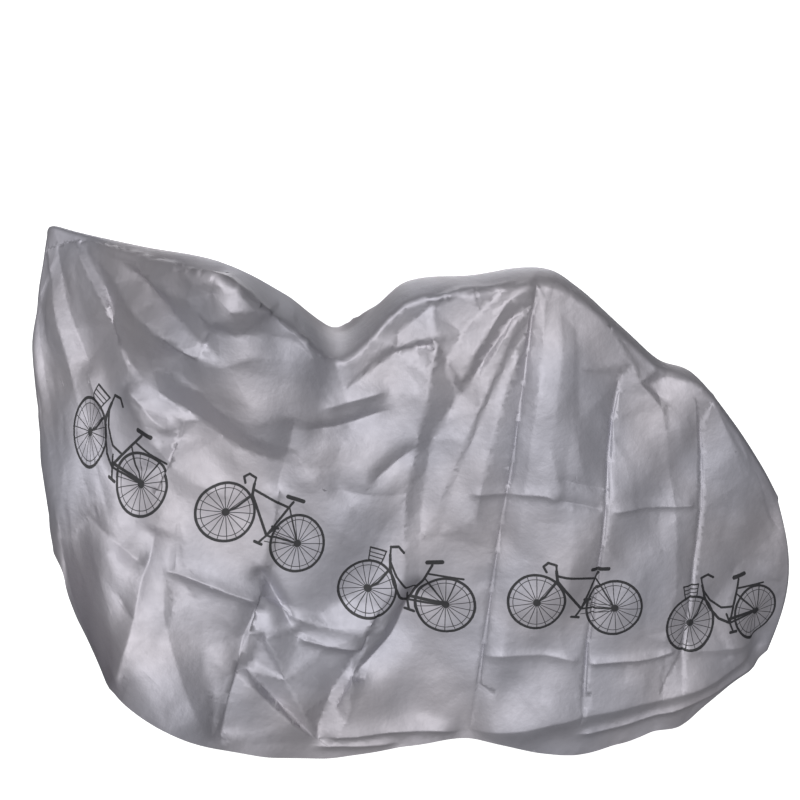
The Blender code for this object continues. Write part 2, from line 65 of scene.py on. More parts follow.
# ---------------------------------------------------------------- the sheet laid flat, and its mesh
# Along the sheet between sections, down it over the shoulder, and on down to the hem.
SECTION_STEP = 0.10
SHOULDER_LENGTH = 0.05
WALL_LENGTH = 0.90
COLUMNS = 225
ROWS = 112
# Mesh edges run along each crease and on both sides of it, and grid places near it are left out.
LINE_STEP = 0.008
CREASE_OFFSETS = (-0.0025, 0.0, 0.0025)
CREASE_CLEARANCE = 0.0045
WELD_MARGIN = 0.004
SAME_PLACE = 1e-5
# Slopes are read over this length to each side.
TINY = 0.0005
# Places on a wall are found from a grid of guesses, in steps that are no longer than the grid's.
FIRST_GUESS_STEP = 0.02
GUESS_ROUNDS = 5
# Where a square metre of wall shows less than this from the side, it counts as this much.
LEAST_AREA = 0.02
# A fold moves no film that is farther from its path than this many times its reach.
FOLD_MARGIN = 3.0

# ---------------------------------------------------------------- camera, light and floor
LENS_MM = 60.0
SENSOR_MM = 36.0
CAMERA_PLACE = (0.53, -2.47, 1.72)
CAMERA_PITCH = math.radians(21.6)
CAMERA_YAW = math.radians(1.4)
# Lamps: how far round each stands (0 is the near side, minus is towards the front wheel), how high,
# its strength, and its softness. The angles are in degrees.
LAMP_COLUMNS = ("name", "turn", "height", "strength", "softness")
LAMPS = (
    ("key", -8.0, 23.0, 3.6, 20.0),
    ("back", 180.0, 18.0, 1.7, 40.0),
)
# The world's light on the film, and the backdrop that the camera sees instead: colour, strength.
FILL = ((0.93, 0.96, 1.0, 1.0), 0.045)
BACKDROP = ((1.0, 1.0, 1.0, 1.0), 0.97)
FLOOR_SIZE = (60.0, 60.0)
FLOOR_MIDDLE = (-0.25, 0.0, -SADDLE_UNDERSIDE_Z)
FLOOR_LOOKS = {
    "Base Color": (0.93, 0.93, 0.93, 1),
    "Roughness": 0.9,
    "Emission Color": (1.0, 1.0, 1.0, 1),
    "Emission Strength": 0.75,
}

# ---------------------------------------------------------------- the film
FILM_TINTS = ((0.40, 0.395, 0.44, 1), (0.435, 0.415, 0.445, 1))
FILM_METALLIC = 0.75
FILM_ROUGHNESS = (0.66, 0.71)
INK_COLOUR = (0.009, 0.009, 0.011, 1)
INK_COVER = 0.98
# Noises: how many to a metre, their detail, and their roughness. The ranges are where they act.
CLOUDS = (3.2, 2.0, 0.5)
CLOUD_RANGE = (0.35, 0.65)
HAZE = (40.0, 3.0, 0.6)
HAZE_RANGE = (0.2, 0.8)
GRAIN = (55.0, 4.0, 0.6)
GRAIN_STRENGTH = 0.25
GRAIN_DEPTH = 0.004

# ---------------------------------------------------------------- sections, front weld to rear weld
SECTION_COLUMNS = (
    "place", "ridge_x", "ridge_y", "ridge_z", "hem_x", "near_y", "near_z", "far_y", "far_z",
    "bow", "near_belly", "far_belly", "near_out", "far_out", "shoulder_drop",
)
SECTIONS = (
    ("front weld", -126, 205, 1022, -98, 0, 500, 0, 500, -40, 0, 0, 4, 4, 10),
    ("front face", -122, 200, 1044, -90, -150, 505, 150, 500, -38, -39, 10, 8, 8, 12),
    ("near tyre edge", -106, 192, 1052, -52, -245, 500, 270, 490, -28, -78, 12, 12, 12, 14),
    ("axle", -66, 175, 1046, -12, -300, 420, 330, 400, -10, -56, 14, 16, 16, 16),
    ("behind the tyre", -10, 140, 1042, 50, -314, 262, 325, 260, 0, -24, 10, 20, 20, 18),
    ("stem", 100, 50, 1044, 160, -298, 155, 290, 140, 0, -16, 6, 50, 22, 20),
    ("near grip", 255, -85, 1052, 300, -236, 68, 250, 75, 0, -26, -10, 62, 22, 20),
    ("before the dip", 370, -5, 962, 420, -196, 32, 225, 40, 0, 7, -14, 132, 30, 22),
    ("dip", 475, 20, 874, 520, -184, 36, 215, 30, 0, 18, -12, 130, 40, 20),
    ("saddle nose", 600, 10, 978, 640, -176, 50, 210, 30, 0, 2, -12, 95, 46, 22),
    ("mid saddle", 730, 0, 996, 760, -172, 54, 210, 35, 0, 20, -12, 72, 58, 24),
    ("saddle", 862, 0, 1009, 875, -162, 18, 205, 30, 0, 36, -10, 66, 66, 26),
    ("behind the saddle", 935, 0, 972, 960, -158, 4, 200, 20, 0, 40, -10, 56, 56, 26),
    ("pillion slope", 1035, 0, 882, 1055, -140, 14, 190, 16, 0, 38, -6, 44, 44, 24),
    ("rack", 1105, 0, 820, 1120, -124, 34, 172, 30, 0, 32, -2, 40, 40, 20),
    ("rack end", 1180, 0, 786, 1185, -114, 44, 150, 50, 4, 22, 0, 36, 36, 18),
    ("rear wheel", 1262, 0, 690, 1262, -78, 96, 118, 90, 12, 10, 6, 30, 30, 20),
    ("wheel back", 1330, 0, 592, 1342, -34, 128, 66, 122, 24, -6, 14, 20, 20, 20),
    ("rear weld", 1372, 0, 520, 1388, 0, 150, 0, 150, 34, 0, 0, 6, 6, 14),
)

SHEET_LENGTH = SECTION_STEP * (len(SECTIONS) - 1)
GRID_ALONG = np.linspace(0.0, SHEET_LENGTH, COLUMNS + 1)
GRID_DOWN = np.linspace(-SHOULDER_LENGTH, WALL_LENGTH, ROWS + 1)

# ---------------------------------------------------------------- folds
# One row for each fold: how far its crest stands out (or sinks in, where it is minus), how far its
# flat sides reach to the left and to the right of its path, the share of its run over which each
# end fades, and how far its outer lip hangs over to the right. Path points are (x, z). Left and
# right are as seen from the near side by someone who walks along the path.
FOLD_COLUMNS = ("name", "height", "left", "right", "fade", "hang", "path")
FOLD_LENGTHS = ("height", "left", "right", "hang")
NEAR_FOLDS = (
    ("corner fold", 22, 90, 45, 0.10, 0, ((720, 75), (835, 90), (915, 105), (1055, 120),
     (1140, 130), (1270, 160), (1365, 185))),
    ("hem ray", 9, 14, 14, 0.10, 0, ((940, 60), (1020, 65), (1100, 80), (1210, 110), (1370, 145))),
    ("second tyre crease", -17, 30, 35, 0.08, 0, ((235, 115), (245, 195), (260, 250), (275, 315),
     (295, 360), (310, 395))),
    ("chain hollow", -20, 20, 24, 0.20, 0, ((305, 470), (340, 400), (375, 330))),
    ("quarter hollow", -24, 20, 45, 0.15, 0, ((485, 205), (530, 245), (575, 295), (600, 355),
     (630, 425))),
    # Smaller folds between them.
    ("fork ridge", 14, 35, 30, 0.20, 0, ((50, 610), (25, 695), (-5, 765), (-30, 820))),
    ("fork panel", 12, 28, 20, 0.20, 0, ((155, 715), (120, 745), (95, 775), (65, 795))),
    ("front quarter crease", -6, 30, 25, 0.15, 0, ((350, 610), (360, 650), (370, 680), (390, 770))),
    ("middle fold", -12, 16, 35, 0.25, 0, ((395, 740), (480, 740), (585, 770))),
    ("middle fold top", 8, 22, 16, 0.25, 0, ((430, 775), (490, 785), (575, 805))),
    ("middle facet", -10, 22, 30, 0.25, 0, ((520, 615), (570, 655), (630, 700))),
    ("middle crease", -5, 35, 30, 0.20, 0, ((440, 620), (530, 600), (605, 595))),
    ("high cross crease", 4, 18, 8, 0.10, 0, ((720, 595), (785, 595), (865, 595), (895, 580))),
    ("high cross crease, middle", -4, 12, 8, 0.15, 0, ((890, 585), (945, 570), (990, 555))),
    ("high cross crease, rear", 5, 14, 8, 0.08, 0, ((1000, 550), (1065, 550), (1115, 545),
     (1185, 540))),
    ("short cross crease", -3, 12, 8, 0.20, 0, ((885, 630), (945, 610), (995, 595))),
    ("low cross crease", 4, 10, 14, 0.10, 0, ((750, 250), (790, 255), (870, 250), (925, 240),
     (955, 230))),
    ("low cross crease, middle", 6, 14, 8, 0.10, 0, ((965, 225), (1040, 225), (1105, 225),
     (1155, 235))),
    ("low cross crease, rear", 7, 22, 16, 0.12, 0, ((1165, 230), (1255, 215), (1345, 205))),
    ("tyre crease", -13, 30, 35, 0.08, 0, ((50, 270), (55, 310), (65, 350), (75, 400), (85, 445),
     (100, 480), (115, 545))),
    ("tyre cross crease", 9, 16, 12, 0.10, 0, ((125, 465), (175, 450), (225, 430), (275, 410),
     (315, 395))),
    ("front cross crease", 10, 30, 24, 0.12, 0, ((-30, 570), (15, 525), (50, 500), (95, 470))),
    ("tyre swell", 10, 55, 45, 0.20, 0, ((200, 145), (165, 240), (130, 370), (130, 445))),
    ("chain fold", 10, 18, 12, 0.15, 0, ((380, 310), (445, 290), (515, 275))),
    ("gather line", 10, 26, 12, 0.15, 0, ((420, 80), (470, 85), (585, 85), (670, 80), (715, 70))),
    ("gather tail", 8, 12, 12, 0.20, 0, ((400, 65), (485, 60), (585, 55))),
)
FAR_FOLDS = (
    ("far grip fold", 30, 80, 80, 0.12, 0, ((-50, 1000), (30, 820), (60, 500))),
    ("far swag", 36, 50, 130, 0.15, 10, ((600, 900), (460, 780), (250, 840), (80, 960))),
    ("far front fold", -26, 80, 70, 0.15, 0, ((260, 960), (220, 600), (200, 200))),
    ("far dip fold", 26, 80, 60, 0.15, 0, ((460, 800), (420, 500), (340, 100))),
    ("far nose fold", 28, 60, 70, 0.15, 0, ((700, 920), (620, 600), (560, 200))),
    ("far saddle fold", -34, 60, 80, 0.10, 0, ((830, 950), (800, 500), (760, 100))),
    ("far panel", 26, 70, 80, 0.15, 0, ((900, 930), (930, 500), (940, 100))),
    ("far wheel fold", -22, 60, 70, 0.15, 0, ((1100, 760), (1120, 450), (1100, 120))),
    ("far corner fold", 22, 30, 50, 0.12, 0, ((1360, 160), (1220, 170), (1040, 110))),
    # Creases that the film kept from its packing, and smaller folds.
    ("far packing crease one", -9, 45, 50, 0.05, 0, ((220, 950), (210, 550), (200, 120))),
    ("far packing crease two", 10, 50, 40, 0.05, 0, ((520, 850), (520, 500), (510, 60))),
    ("far packing crease three", -10, 40, 45, 0.05, 0, ((840, 950), (830, 500), (820, 60))),
    ("far packing crease four", 10, 50, 45, 0.05, 0, ((1140, 760), (1150, 450), (1140, 80))),
    ("far high cross crease", 9, 40, 25, 0.04, 0, ((0, 620), (300, 600), (700, 605), (1050, 590),
     (1320, 560))),
    ("far low cross crease", 9, 40, 25, 0.04, 0, ((120, 300), (450, 285), (800, 290), (1100, 270),
     (1340, 250))),
    ("far saddle ray one", 18, 30, 30, 0.12, 0, ((840, 990), (720, 900), (600, 760), (520, 620))),
    ("far saddle ray two", 14, 26, 26, 0.12, 0, ((860, 970), (780, 800), (700, 620))),
    ("far saddle ray three", 16, 26, 30, 0.12, 0, ((900, 970), (990, 800), (1060, 620))),
    ("far grip ray one", 18, 30, 34, 0.12, 0, ((240, 1020), (300, 850), (400, 700), (520, 600))),
    ("far grip ray two", 16, 26, 30, 0.12, 0, ((-60, 1020), (60, 900), (160, 740), (200, 580))),
    ("far wheel ray", 14, 30, 26, 0.12, 0, ((1200, 760), (1270, 620), (1320, 420))),
    ("far corner crease", 14, 20, 24, 0.10, 0, ((1376, 150), (1270, 150), (1140, 105), (1000, 80))),
)

# Flat facets of the near wall. Each line is a crease, and the film is flat between neighbouring
# lines. Line points are (x, z, how far the film stands out), and where two lines share a place, the
# first of them says how far.
FACET_LINES = (
    ("front foot", ((-133, 979, 0), (-143, 910, 0), (-133, 841, 0), (-120, 772, 0), (-97, 694, 0),
     (-74, 622, 0), (-51, 553, 0))),
    ("first ridge", ((-118, 1009, 6), (-108, 970, 11), (-91, 916, 14), (-75, 863, 17),
     (-62, 812, 15), (-48, 759, 10), (-29, 698, 6), (-2, 623, 4), (23, 548, 3))),
    ("first fall", ((-95, 1015, 3), (-82, 970, 6), (-68, 920, 6), (-48, 869, 8), (-34, 818, 3),
     (-7, 765, -1), (21, 701, -6), (51, 626, -6), (82, 577, 0))),
    ("second ridge", ((-61, 1031, 8), (-36, 1004, 17), (-10, 974, 22), (16, 947, 27), (36, 923, 28),
     (50, 902, 27))),
    ("second fall", ((-29, 1017, 7), (-7, 988, 13), (12, 964, 17), (30, 937, 20), (46, 913, 20))),
    ("third ridge", ((-21, 1034, 11), (1, 1001, 13), (18, 965, 14), (34, 932, 14), (44, 895, 14),
     (59, 860, 15), (75, 824, 13), (102, 808, 10), (130, 793, 3), (156, 774, -7), (179, 762, -13),
     (198, 749, -15), (243, 723, -17), (290, 702, -13), (350, 680, -7), (396, 665, -3))),
    ("pocket", ((10, 992, 13), (36, 969, 20), (60, 948, 25), (85, 928, 31), (101, 905, 34),
     (113, 879, 28), (126, 854, 17), (147, 841, 8))),
    ("lip edge", ((22, 998, 17), (52, 977, 25), (81, 957, 35), (109, 941, 42), (144, 927, 46),
     (171, 913, 43), (201, 897, 35), (230, 883, 22), (270, 875, 15), (309, 863, 10), (371, 839, 4),
     (437, 816, 0))),
    ("lip hollow", ((59, 1017, 13), (103, 996, 7), (144, 971, 4), (177, 949, 7), (207, 930, 11),
     (231, 912, 14))),
    ("flap edge", ((93, 1020, 20), (116, 1010, 24), (139, 1002, 25), (171, 994, 22),
     (209, 994, 18))),
    ("flap top", ((26, 1018, 10), (93, 1027, 14), (124, 1035, 13), (190, 1044, 13), (240, 1043, 14),
     (258, 1038, 15), (295, 1016, 15), (330, 985, 15), (347, 967, 14), (381, 933, 11),
     (403, 916, 11), (445, 882, 4))),
    ("flap corner", ((209, 994, 17), (226, 1026, 18), (258, 1038, 15))),
    ("flap under", ((209, 994, 17), (226, 972, 15), (250, 960, 20), (252, 1013, 10),
     (258, 1038, 15))),
    ("flap side", ((209, 994, 18), (255, 1014, 11))),
    ("curl", ((247, 943, 14), (267, 968, 21), (287, 987, 24), (311, 987, 22), (342, 973, 17))),
    ("curl under", ((236, 913, 6), (262, 940, 6), (295, 935, 4), (342, 932, 6), (392, 909, 4))),
    ("swell line", ((260, 893, 11), (310, 893, 13), (372, 882, 8), (421, 876, 6))),
    ("fold under", ((83, 824, 8), (121, 831, 11), (167, 840, 15), (186, 824, 17), (221, 815, 17),
     (240, 787, 13), (266, 763, 8), (306, 736, 6), (350, 714, 3), (397, 698, 0))),
    ("tag", ((191, 884, 11), (185, 843, 15))),
    ("panel edge", ((-25, 816, 0), (28, 803, 6), (59, 791, 11), (83, 765, 14), (105, 728, 14),
     (127, 687, 11), (146, 658, 6))),
    ("triangle", ((133, 783, 3), (140, 750, -4), (157, 721, -11))),
    ("triangle side", ((170, 745, -4), (155, 704, -11), (144, 659, -4))),
    ("left low foot", ((146, 658, 6), (112, 598, 0), (82, 577, 0))),
    ("rim low", ((-51, 553, 0), (7, 487, 0), (62, 514, 0), (162, 555, 0), (261, 601, 0),
     (357, 623, 0), (453, 656, 0), (492, 730, 0), (484, 807, 0), (466, 863, 0), (464, 873, 0),
     (445, 884, 0))),
    ("stretch one", ((252, 780, 13), (299, 762, 11))),
    ("stretch two", ((228, 820, 17), (308, 803, 11), (380, 772, 8))),
    ("hood edge", ((649, 903, 12), (655, 878, 16), (644, 832, 20), (639, 790, 22), (625, 731, 19),
     (610, 650, 17), (596, 587, 16), (591, 504, 14), (590, 424, 13), (520, 325, 16), (488, 211, 16),
     (476, 117, 8))),
    ("hood foot", ((667, 887, 2), (677, 853, -2), (689, 815, -4), (694, 780, -5), (673, 742, 0),
     (649, 702, 4), (639, 643, 6), (633, 582, 6), (626, 499, 6), (622, 419, 7), (552, 313, 11),
     (517, 204, 12), (495, 109, 7))),
    ("low hollow", ((557, 463, 2), (492, 381, -8), (425, 354, -3))),
    ("gather left", ((138, 617, 0), (127, 567, 4), (107, 481, 5), (76, 370, 5), (54, 257, 0))),
    ("gather left foot", ((172, 595, 0), (158, 555, 1), (150, 461, -3), (142, 372, -4),
     (121, 216, 0))),
    ("gather corner", ((129, 469, 3), (178, 449, 7), (245, 428, 11), (313, 409, 13), (289, 328, 15),
     (254, 255, 15), (243, 193, 10), (242, 124, 0))),
    ("gather shade", ((188, 404, 2), (204, 305, -5), (218, 225, -8), (218, 135, 0))),
    ("gather corner foot", ((328, 395, 0), (314, 308, -3), (294, 264, -5))),
    ("gather ray one", ((259, 253, 14), (307, 198, 14), (365, 131, 11), (411, 82, 2))),
    ("gather ray one foot", ((281, 256, 0), (338, 177, -4), (383, 116, -3))),
    ("gather ray two", ((312, 403, 9), (320, 315, 12), (355, 226, 13), (389, 149, 9),
     (411, 82, 2))),
    ("gather level", ((316, 402, 8), (376, 355, 8), (447, 329, 7), (520, 309, 6), (555, 300, 6))),
    ("gather level foot", ((389, 320, -1), (447, 289, -3), (511, 271, -2))),
    ("gather wedge", ((545, 363, 10), (518, 280, 4), (488, 212, -2), (457, 147, -4), (418, 79, 0))),
    ("gather wedge foot", ((491, 247, -12), (446, 179, -14), (420, 111, -8))),
    ("ray one hollow", ((812, 1001, 0), (777, 983, -3), (740, 947, -4), (706, 909, -4),
     (677, 853, -2))),
    ("ray one", ((829, 994, 5), (787, 965, 9), (763, 925, 10), (731, 875, 10), (705, 821, 7))),
    ("ray two hollow", ((840, 960, -5), (804, 940, -5), (779, 905, -4), (753, 867, -4),
     (728, 824, -3), (706, 792, -5), (694, 780, -5))),
    ("ray two", ((813, 935, 1), (788, 904, 5), (760, 859, 5), (739, 826, 2))),
    ("long ray", ((826, 940, -2), (793, 888, 5), (768, 829, 8), (739, 764, 10), (714, 704, 10),
     (693, 649, 10), (666, 583, 9), (634, 510, 7))),
    ("long ray hollow", ((832, 928, -5), (807, 880, -2), (781, 828, 2), (754, 772, 4),
     (728, 704, 4), (702, 636, 4), (685, 582, 4), (663, 509, 3))),
    ("ray three", ((830, 903, -4), (808, 846, 3), (787, 790, 6), (768, 720, 7), (753, 650, 7),
     (734, 544, 6))),
    ("saddle valley", ((847, 1000, -3), (842, 947, -10), (833, 876, -11), (824, 812, -12),
     (814, 740, -12), (807, 661, -12), (797, 611, -12), (786, 533, -11), (779, 476, -11),
     (769, 389, -11), (756, 279, -10), (746, 188, -10), (730, 76, -3))),
    ("strip left", ((868, 969, 1), (861, 886, 3), (853, 811, 4), (845, 735, 4), (837, 655, 4),
     (828, 586, 4), (819, 482, 3), (807, 374, 2), (793, 274, 2), (782, 170, 0))),
    ("strip edge", ((895, 946, 3), (895, 875, 5), (891, 810, 6), (882, 725, 6), (876, 656, 6),
     (871, 547, 5), (864, 463, 4), (855, 332, 3), (852, 168, 1))),
    ("panel hollow", ((924, 909, 0), (932, 833, 1), (934, 738, 2), (929, 652, 2), (925, 543, 1),
     (920, 416, 1), (909, 284, 1))),
    ("rear valley", ((1015, 806, -3), (1007, 731, -12), (999, 651, -13), (993, 571, -13),
     (986, 490, -13), (981, 384, -12), (969, 274, -11), (963, 156, -9), (956, 83, -2))),
    ("rear valley edge", ((1022, 818, 1), (1018, 786, -1), (1018, 728, -4), (1012, 660, -5),
     (1006, 572, -5), (1000, 491, -5), (994, 386, -4), (984, 275, -4), (977, 159, -2))),
    ("bulge edge", ((1039, 833, 8), (1054, 795, 10), (1079, 768, 11), (1100, 741, 10),
     (1111, 696, 9), (1119, 640, 8), (1135, 564, 7), (1144, 475, 6), (1145, 368, 5), (1127, 258, 5),
     (1117, 139, 3))),
    ("wheel valley", ((1169, 761, -1), (1187, 700, -6), (1194, 645, -7), (1197, 584, -7),
     (1198, 526, -7), (1195, 463, -7), (1185, 357, -7), (1171, 234, -7), (1168, 130, -2))),
    ("wheel ridge", ((1194, 772, 0), (1206, 748, 3), (1229, 704, 4), (1262, 642, 4),
     (1293, 584, 3))),
    ("rack wedge", ((1056, 831, 4), (1096, 818, 6), (1140, 806, 3))),
    ("rack hollow", ((1080, 787, -4), (1105, 798, -5), (1126, 804, -3), (1164, 795, -2),
     (1186, 781, 0))),
    ("rack hollow, low", ((1080, 787, -4), (1099, 764, -1), (1115, 752, 2))),
    ("peak fold", ((856, 1010, 0), (875, 1007, 4), (888, 999, 3))),
    ("peak cleft", ((847, 1010, 0), (849, 1002, -4))),
    ("strip top", ((855, 969, -2), (862, 941, 2), (895, 946, 3), (931, 954, 3), (963, 949, 2))),
    ("saddle swoop", ((659, 975, 6), (691, 982, 8), (732, 988, 8), (775, 993, 5), (812, 1001, 0))),
    ("saddle swoop hollow", ((636, 974, 2), (674, 986, 1), (715, 995, 1), (763, 1001, 0))),
    ("under swoop", ((651, 961, -2), (674, 971, -1), (698, 978, -1), (728, 983, 1))),
    ("hood wedge", ((584, 884, 6), (616, 898, 9), (649, 903, 12))),
    ("hood wedge under", ((578, 874, -1), (616, 882, -1), (648, 886, 0))),
    ("hood hollow", ((585, 908, -3), (618, 935, -5), (647, 965, -3))),
    ("neck fold", ((506, 875, 6), (510, 891, 9), (527, 909, 10), (560, 946, 8), (590, 972, 6))),
    ("neck edge", ((483, 858, 6), (515, 869, 8), (549, 878, 8), (573, 891, 7))),
    ("rim right", ((1180, 786, 0), (1257, 696, 0), (1313, 617, 0), (1371, 514, 0), (1405, 373, 0),
     (1406, 229, 0), (1379, 145, 0))),
    ("rim low right", ((1379, 145, 0), (1187, 45, 0), (1002, 6, 0), (793, 46, 0), (586, 48, 0),
     (443, 59, 0), (284, 96, 0))),
    ("saddle valley, left", ((836, 946, -6), (827, 875, -7), (817, 812, -8), (808, 742, -8),
     (801, 662, -8), (791, 612, -8), (780, 534, -7), (773, 478, -7), (763, 391, -7), (750, 281, -6),
     (740, 190, -6))),
    ("saddle valley, right", ((846, 947, -5), (837, 876, -6), (830, 812, -7), (821, 742, -7),
     (811, 663, -7), (804, 613, -7), (793, 535, -6), (786, 478, -6), (775, 392, -6), (762, 282, -5),
     (751, 190, -5))),
    ("rear valley, left", ((998, 734, -8), (992, 652, -9), (986, 574, -9), (980, 492, -9),
     (972, 387, -8), (963, 276, -7), (954, 160, -5))),
    ("rear valley, right", ((1008, 733, -6), (1004, 652, -7), (998, 573, -7), (991, 491, -7),
     (984, 386, -6), (974, 275, -5), (966, 160, -3))),
    ("wheel valley, left", ((1177, 703, 0), (1185, 648, -1), (1187, 587, -1), (1187, 530, -1),
     (1184, 468, -1), (1174, 361, -1), (1162, 238, -1))),
    ("wheel valley, right", ((1191, 701, -2), (1198, 646, -3), (1201, 585, -3), (1202, 526, -3),
     (1199, 464, -3), (1190, 357, -3), (1176, 235, -3))),
)

# Small wrinkles scattered over each wall: how many, their length, height and reach, in metres.
WRINKLE_COLUMNS = ("wall", "seed", "count", "shortest", "longest", "height", "narrowest", "widest")
WRINKLES = (
    ("near", 11, 70, 0.06, 0.20, 0.0026, 0.016, 0.040),
    ("near", 12, 90, 0.03, 0.09, 0.0011, 0.008, 0.016),
    ("far", 21, 120, 0.05, 0.18, 0.0036, 0.016, 0.036),
    ("far", 22, 90, 0.03, 0.09, 0.0018, 0.008, 0.018),
)
# The middle and the spread of their turn, their most bend as a share of half their length, the
# share of the height that the lowest have, and the share of their run over which each end fades.
WRINKLE_TURN = (math.radians(80.0), math.radians(38.0))
WRINKLE_BEND = 0.25
WRINKLE_LOWEST = 0.3
WRINKLE_FADE = 0.5

# Crumple: flat facets whose corners lie on a loose grid and stand out or sink in by up to the
# height, in metres. Corners are off the grid by up to a share of its step. The mesh has edges along
# the facets of the first, largest layers.
CRUMPLE_COLUMNS = ("seed", "step_along", "step_down", "height")
CRUMPLES = (
    (41, 0.150, 0.210, 0.0045),
    (42, 0.070, 0.095, 0.0018),
    (43, 0.034, 0.042, 0.0006),
)
CRUMPLE_SCATTER = 0.42
SHARP_LAYERS = 2

# Slow swells of the film, in waves along x and z: (wave in x, wave in z, height, phase), in metres.
SWELLS = (
    (0.41, 0.63, 0.0040, 0.4),
    (-0.27, 0.35, 0.0030, 2.1),
    (0.17, -0.23, 0.0018, 4.4),
    (0.11, 0.15, 0.0010, 1.3),
)
# The far wall swells at a later phase than the near one.
FAR_PHASE = 1.0

# ---------------------------------------------------------------- the printed band
# The middle line of the band on a wall: (name, along the sheet from the saddle, height).
BAND = {
    "near": (
        ("front weld", -1100, 800), ("front", -900, 690), ("grip", -660, 570),
        ("middle", -300, 430), ("saddle", 70, 357), ("wheel", 420, 321), ("rear weld", 620, 310),
    ),
    "far": (
        ("front weld", -1100, 440), ("front", -900, 420), ("grip", -660, 400),
        ("middle", -300, 400), ("saddle", 70, 390), ("wheel", 420, 360), ("rear weld", 620, 340),
    ),
}
BAND_STEPS = 60
# Motifs follow each other at this pitch, from where they start along the band. They hang lower than
# its middle line by the drop, and the two kinds stand higher and lower than that by the rise.
MOTIF_PITCH = 0.345
MOTIF_START = {"near": -0.295, "far": 0.14}
MOTIF_DROP = 0.022
MOTIF_RISE = 0.022
# The ink thins out between these distances from the edge of a line.
INK_EDGE = (-0.0004, 0.0005)
# Wheels of the printed bicycles.
HUB_X = 0.084
WHEEL_RADIUS = 0.058
TYRE_WIDTH = 0.0056
RIM_RADIUS = WHEEL_RADIUS - 1.7 * TYRE_WIDTH
HUB_RADIUS = 1.4 * TYRE_WIDTH
SPOKES = 18
SPOKE_HALF_WIDTH = 0.0008  # of the rim too
# Lines of each motif, from its middle: (name, half width, points).
ROADSTER = (
    ("chain stay", 2.2, ((84, 0), (14, -8))),
    ("seat stay", 1.8, ((84, 0), (36, 62))),
    ("seat tube", 2.8, ((14, -8), (40, 74))),
    ("down tube", 3.0, ((14, -8), (-52, 54))),
    ("top tube", 2.6, ((35, 60), (-54, 64))),
    ("head tube", 3.2, ((-50, 50), (-57, 74))),
    ("fork", 2.4, ((-51, 52), (-70, 16), (-84, 0))),
    ("saddle", 4.2, ((24, 80), (60, 84))),
    ("stem", 2.2, ((-57, 74), (-59, 86))),
    ("bar", 2.6, ((-59, 86), (-76, 88), (-84, 78), (-76, 68))),
    ("crank", 2.4, ((4, -28), (24, 12))),
    ("pedals", 3.0, ((-4, -28), (12, -28))),
    ("far pedal", 3.0, ((18, 13), (32, 13))),
    ("chain top", 0.9, ((15, 4), (84, 6))),
    ("chain under", 0.9, ((15, -20), (84, -6))),
)
STEP_THROUGH = (
    ("chain stay", 2.4, ((84, 0), (12, -12))),
    ("seat stay", 1.8, ((84, 0), (30, 50))),
    ("seat tube", 2.8, ((12, -12), (40, 80))),
    ("lower tube", 3.0, ((12, -12), (-14, 0), (-36, 26), (-52, 56))),
    ("upper tube", 2.4, ((22, 22), (-6, 22), (-34, 42), (-53, 66))),
    ("head tube", 3.2, ((-50, 52), (-58, 80))),
    ("fork", 2.4, ((-51, 54), (-68, 18), (-84, 0))),
    ("saddle", 4.6, ((28, 84), (58, 90))),
    ("stem", 2.2, ((-58, 80), (-61, 96))),
    ("bar", 2.8, ((-61, 96), (-44, 102), (-30, 94))),
    ("basket rim", 1.8, ((-108, 84), (-68, 84))),
    ("basket front", 1.5, ((-108, 84), (-102, 58))),
    ("basket back", 1.5, ((-68, 84), (-72, 58))),
    ("basket floor", 1.8, ((-102, 58), (-72, 58))),
    ("basket weave", 1.1, ((-106, 75), (-69, 75))),
    ("basket weave low", 1.1, ((-104, 67), (-71, 67))),
    ("rack", 2.2, ((38, 60), (108, 62))),
    ("rack stay", 1.4, ((96, 61), (84, 0))),
    ("crank", 2.4, ((20, -32), (4, 8))),
    ("pedals", 3.0, ((12, -32), (28, -32))),
    ("chain guard", 3.4, ((10, -4), (80, 3))),
)


def smooth_curve(knots, places):
    """Read a smooth curve through the knots at places counted from the first knot."""
    slopes = np.gradient(knots, axis=0)
    first = np.clip(places.astype(int), 0, len(knots) - 2)
    t = (places - first)[:, None]
    start, end = knots[first], knots[first + 1]
    start_slope, end_slope = slopes[first], slopes[first + 1]
    return (
        (2 * t**3 - 3 * t**2 + 1) * start + (t**3 - 2 * t**2 + t) * start_slope
        + (3 * t**2 - 2 * t**3) * end + (t**3 - t**2) * end_slope
    )


def smoothstep(value):
    """0 up to value 0, 1 from value 1, and an S-curve between them."""
    t = np.clip(value, 0.0, 1.0)
    return t * t * (3.0 - 2.0 * t)


def wall_points(side, along, down):
    """Points of a wall without its folds, for places along it from the front weld and down it."""
    knots = np.array([row[1:] for row in SECTIONS]) / MM
    section = dict(zip(SECTION_COLUMNS[1:], smooth_curve(knots, along / SECTION_STEP).T))
    outward = -1.0 if side == "near" else 1.0
    angle = SHOULDER_ANGLE * np.minimum(1.0 + down / SHOULDER_LENGTH, 1.0)
    share = np.maximum(down, 0.0) / WALL_LENGTH
    bulge = np.sin(math.pi * share)
    top_x = section["ridge_x"]
    top_y = section["ridge_y"] + outward * section[side + "_out"] * np.sin(angle)
    top_z = section["ridge_z"] - section["shoulder_drop"] * (1.0 - np.cos(angle))
    return np.stack((
        top_x + (section["hem_x"] - top_x) * share + section["bow"] * bulge,
        top_y + (section[side + "_y"] - top_y) * share + outward * section[side + "_belly"] * bulge,
        top_z + (section[side + "_z"] - top_z) * share,
    ), axis=-1)


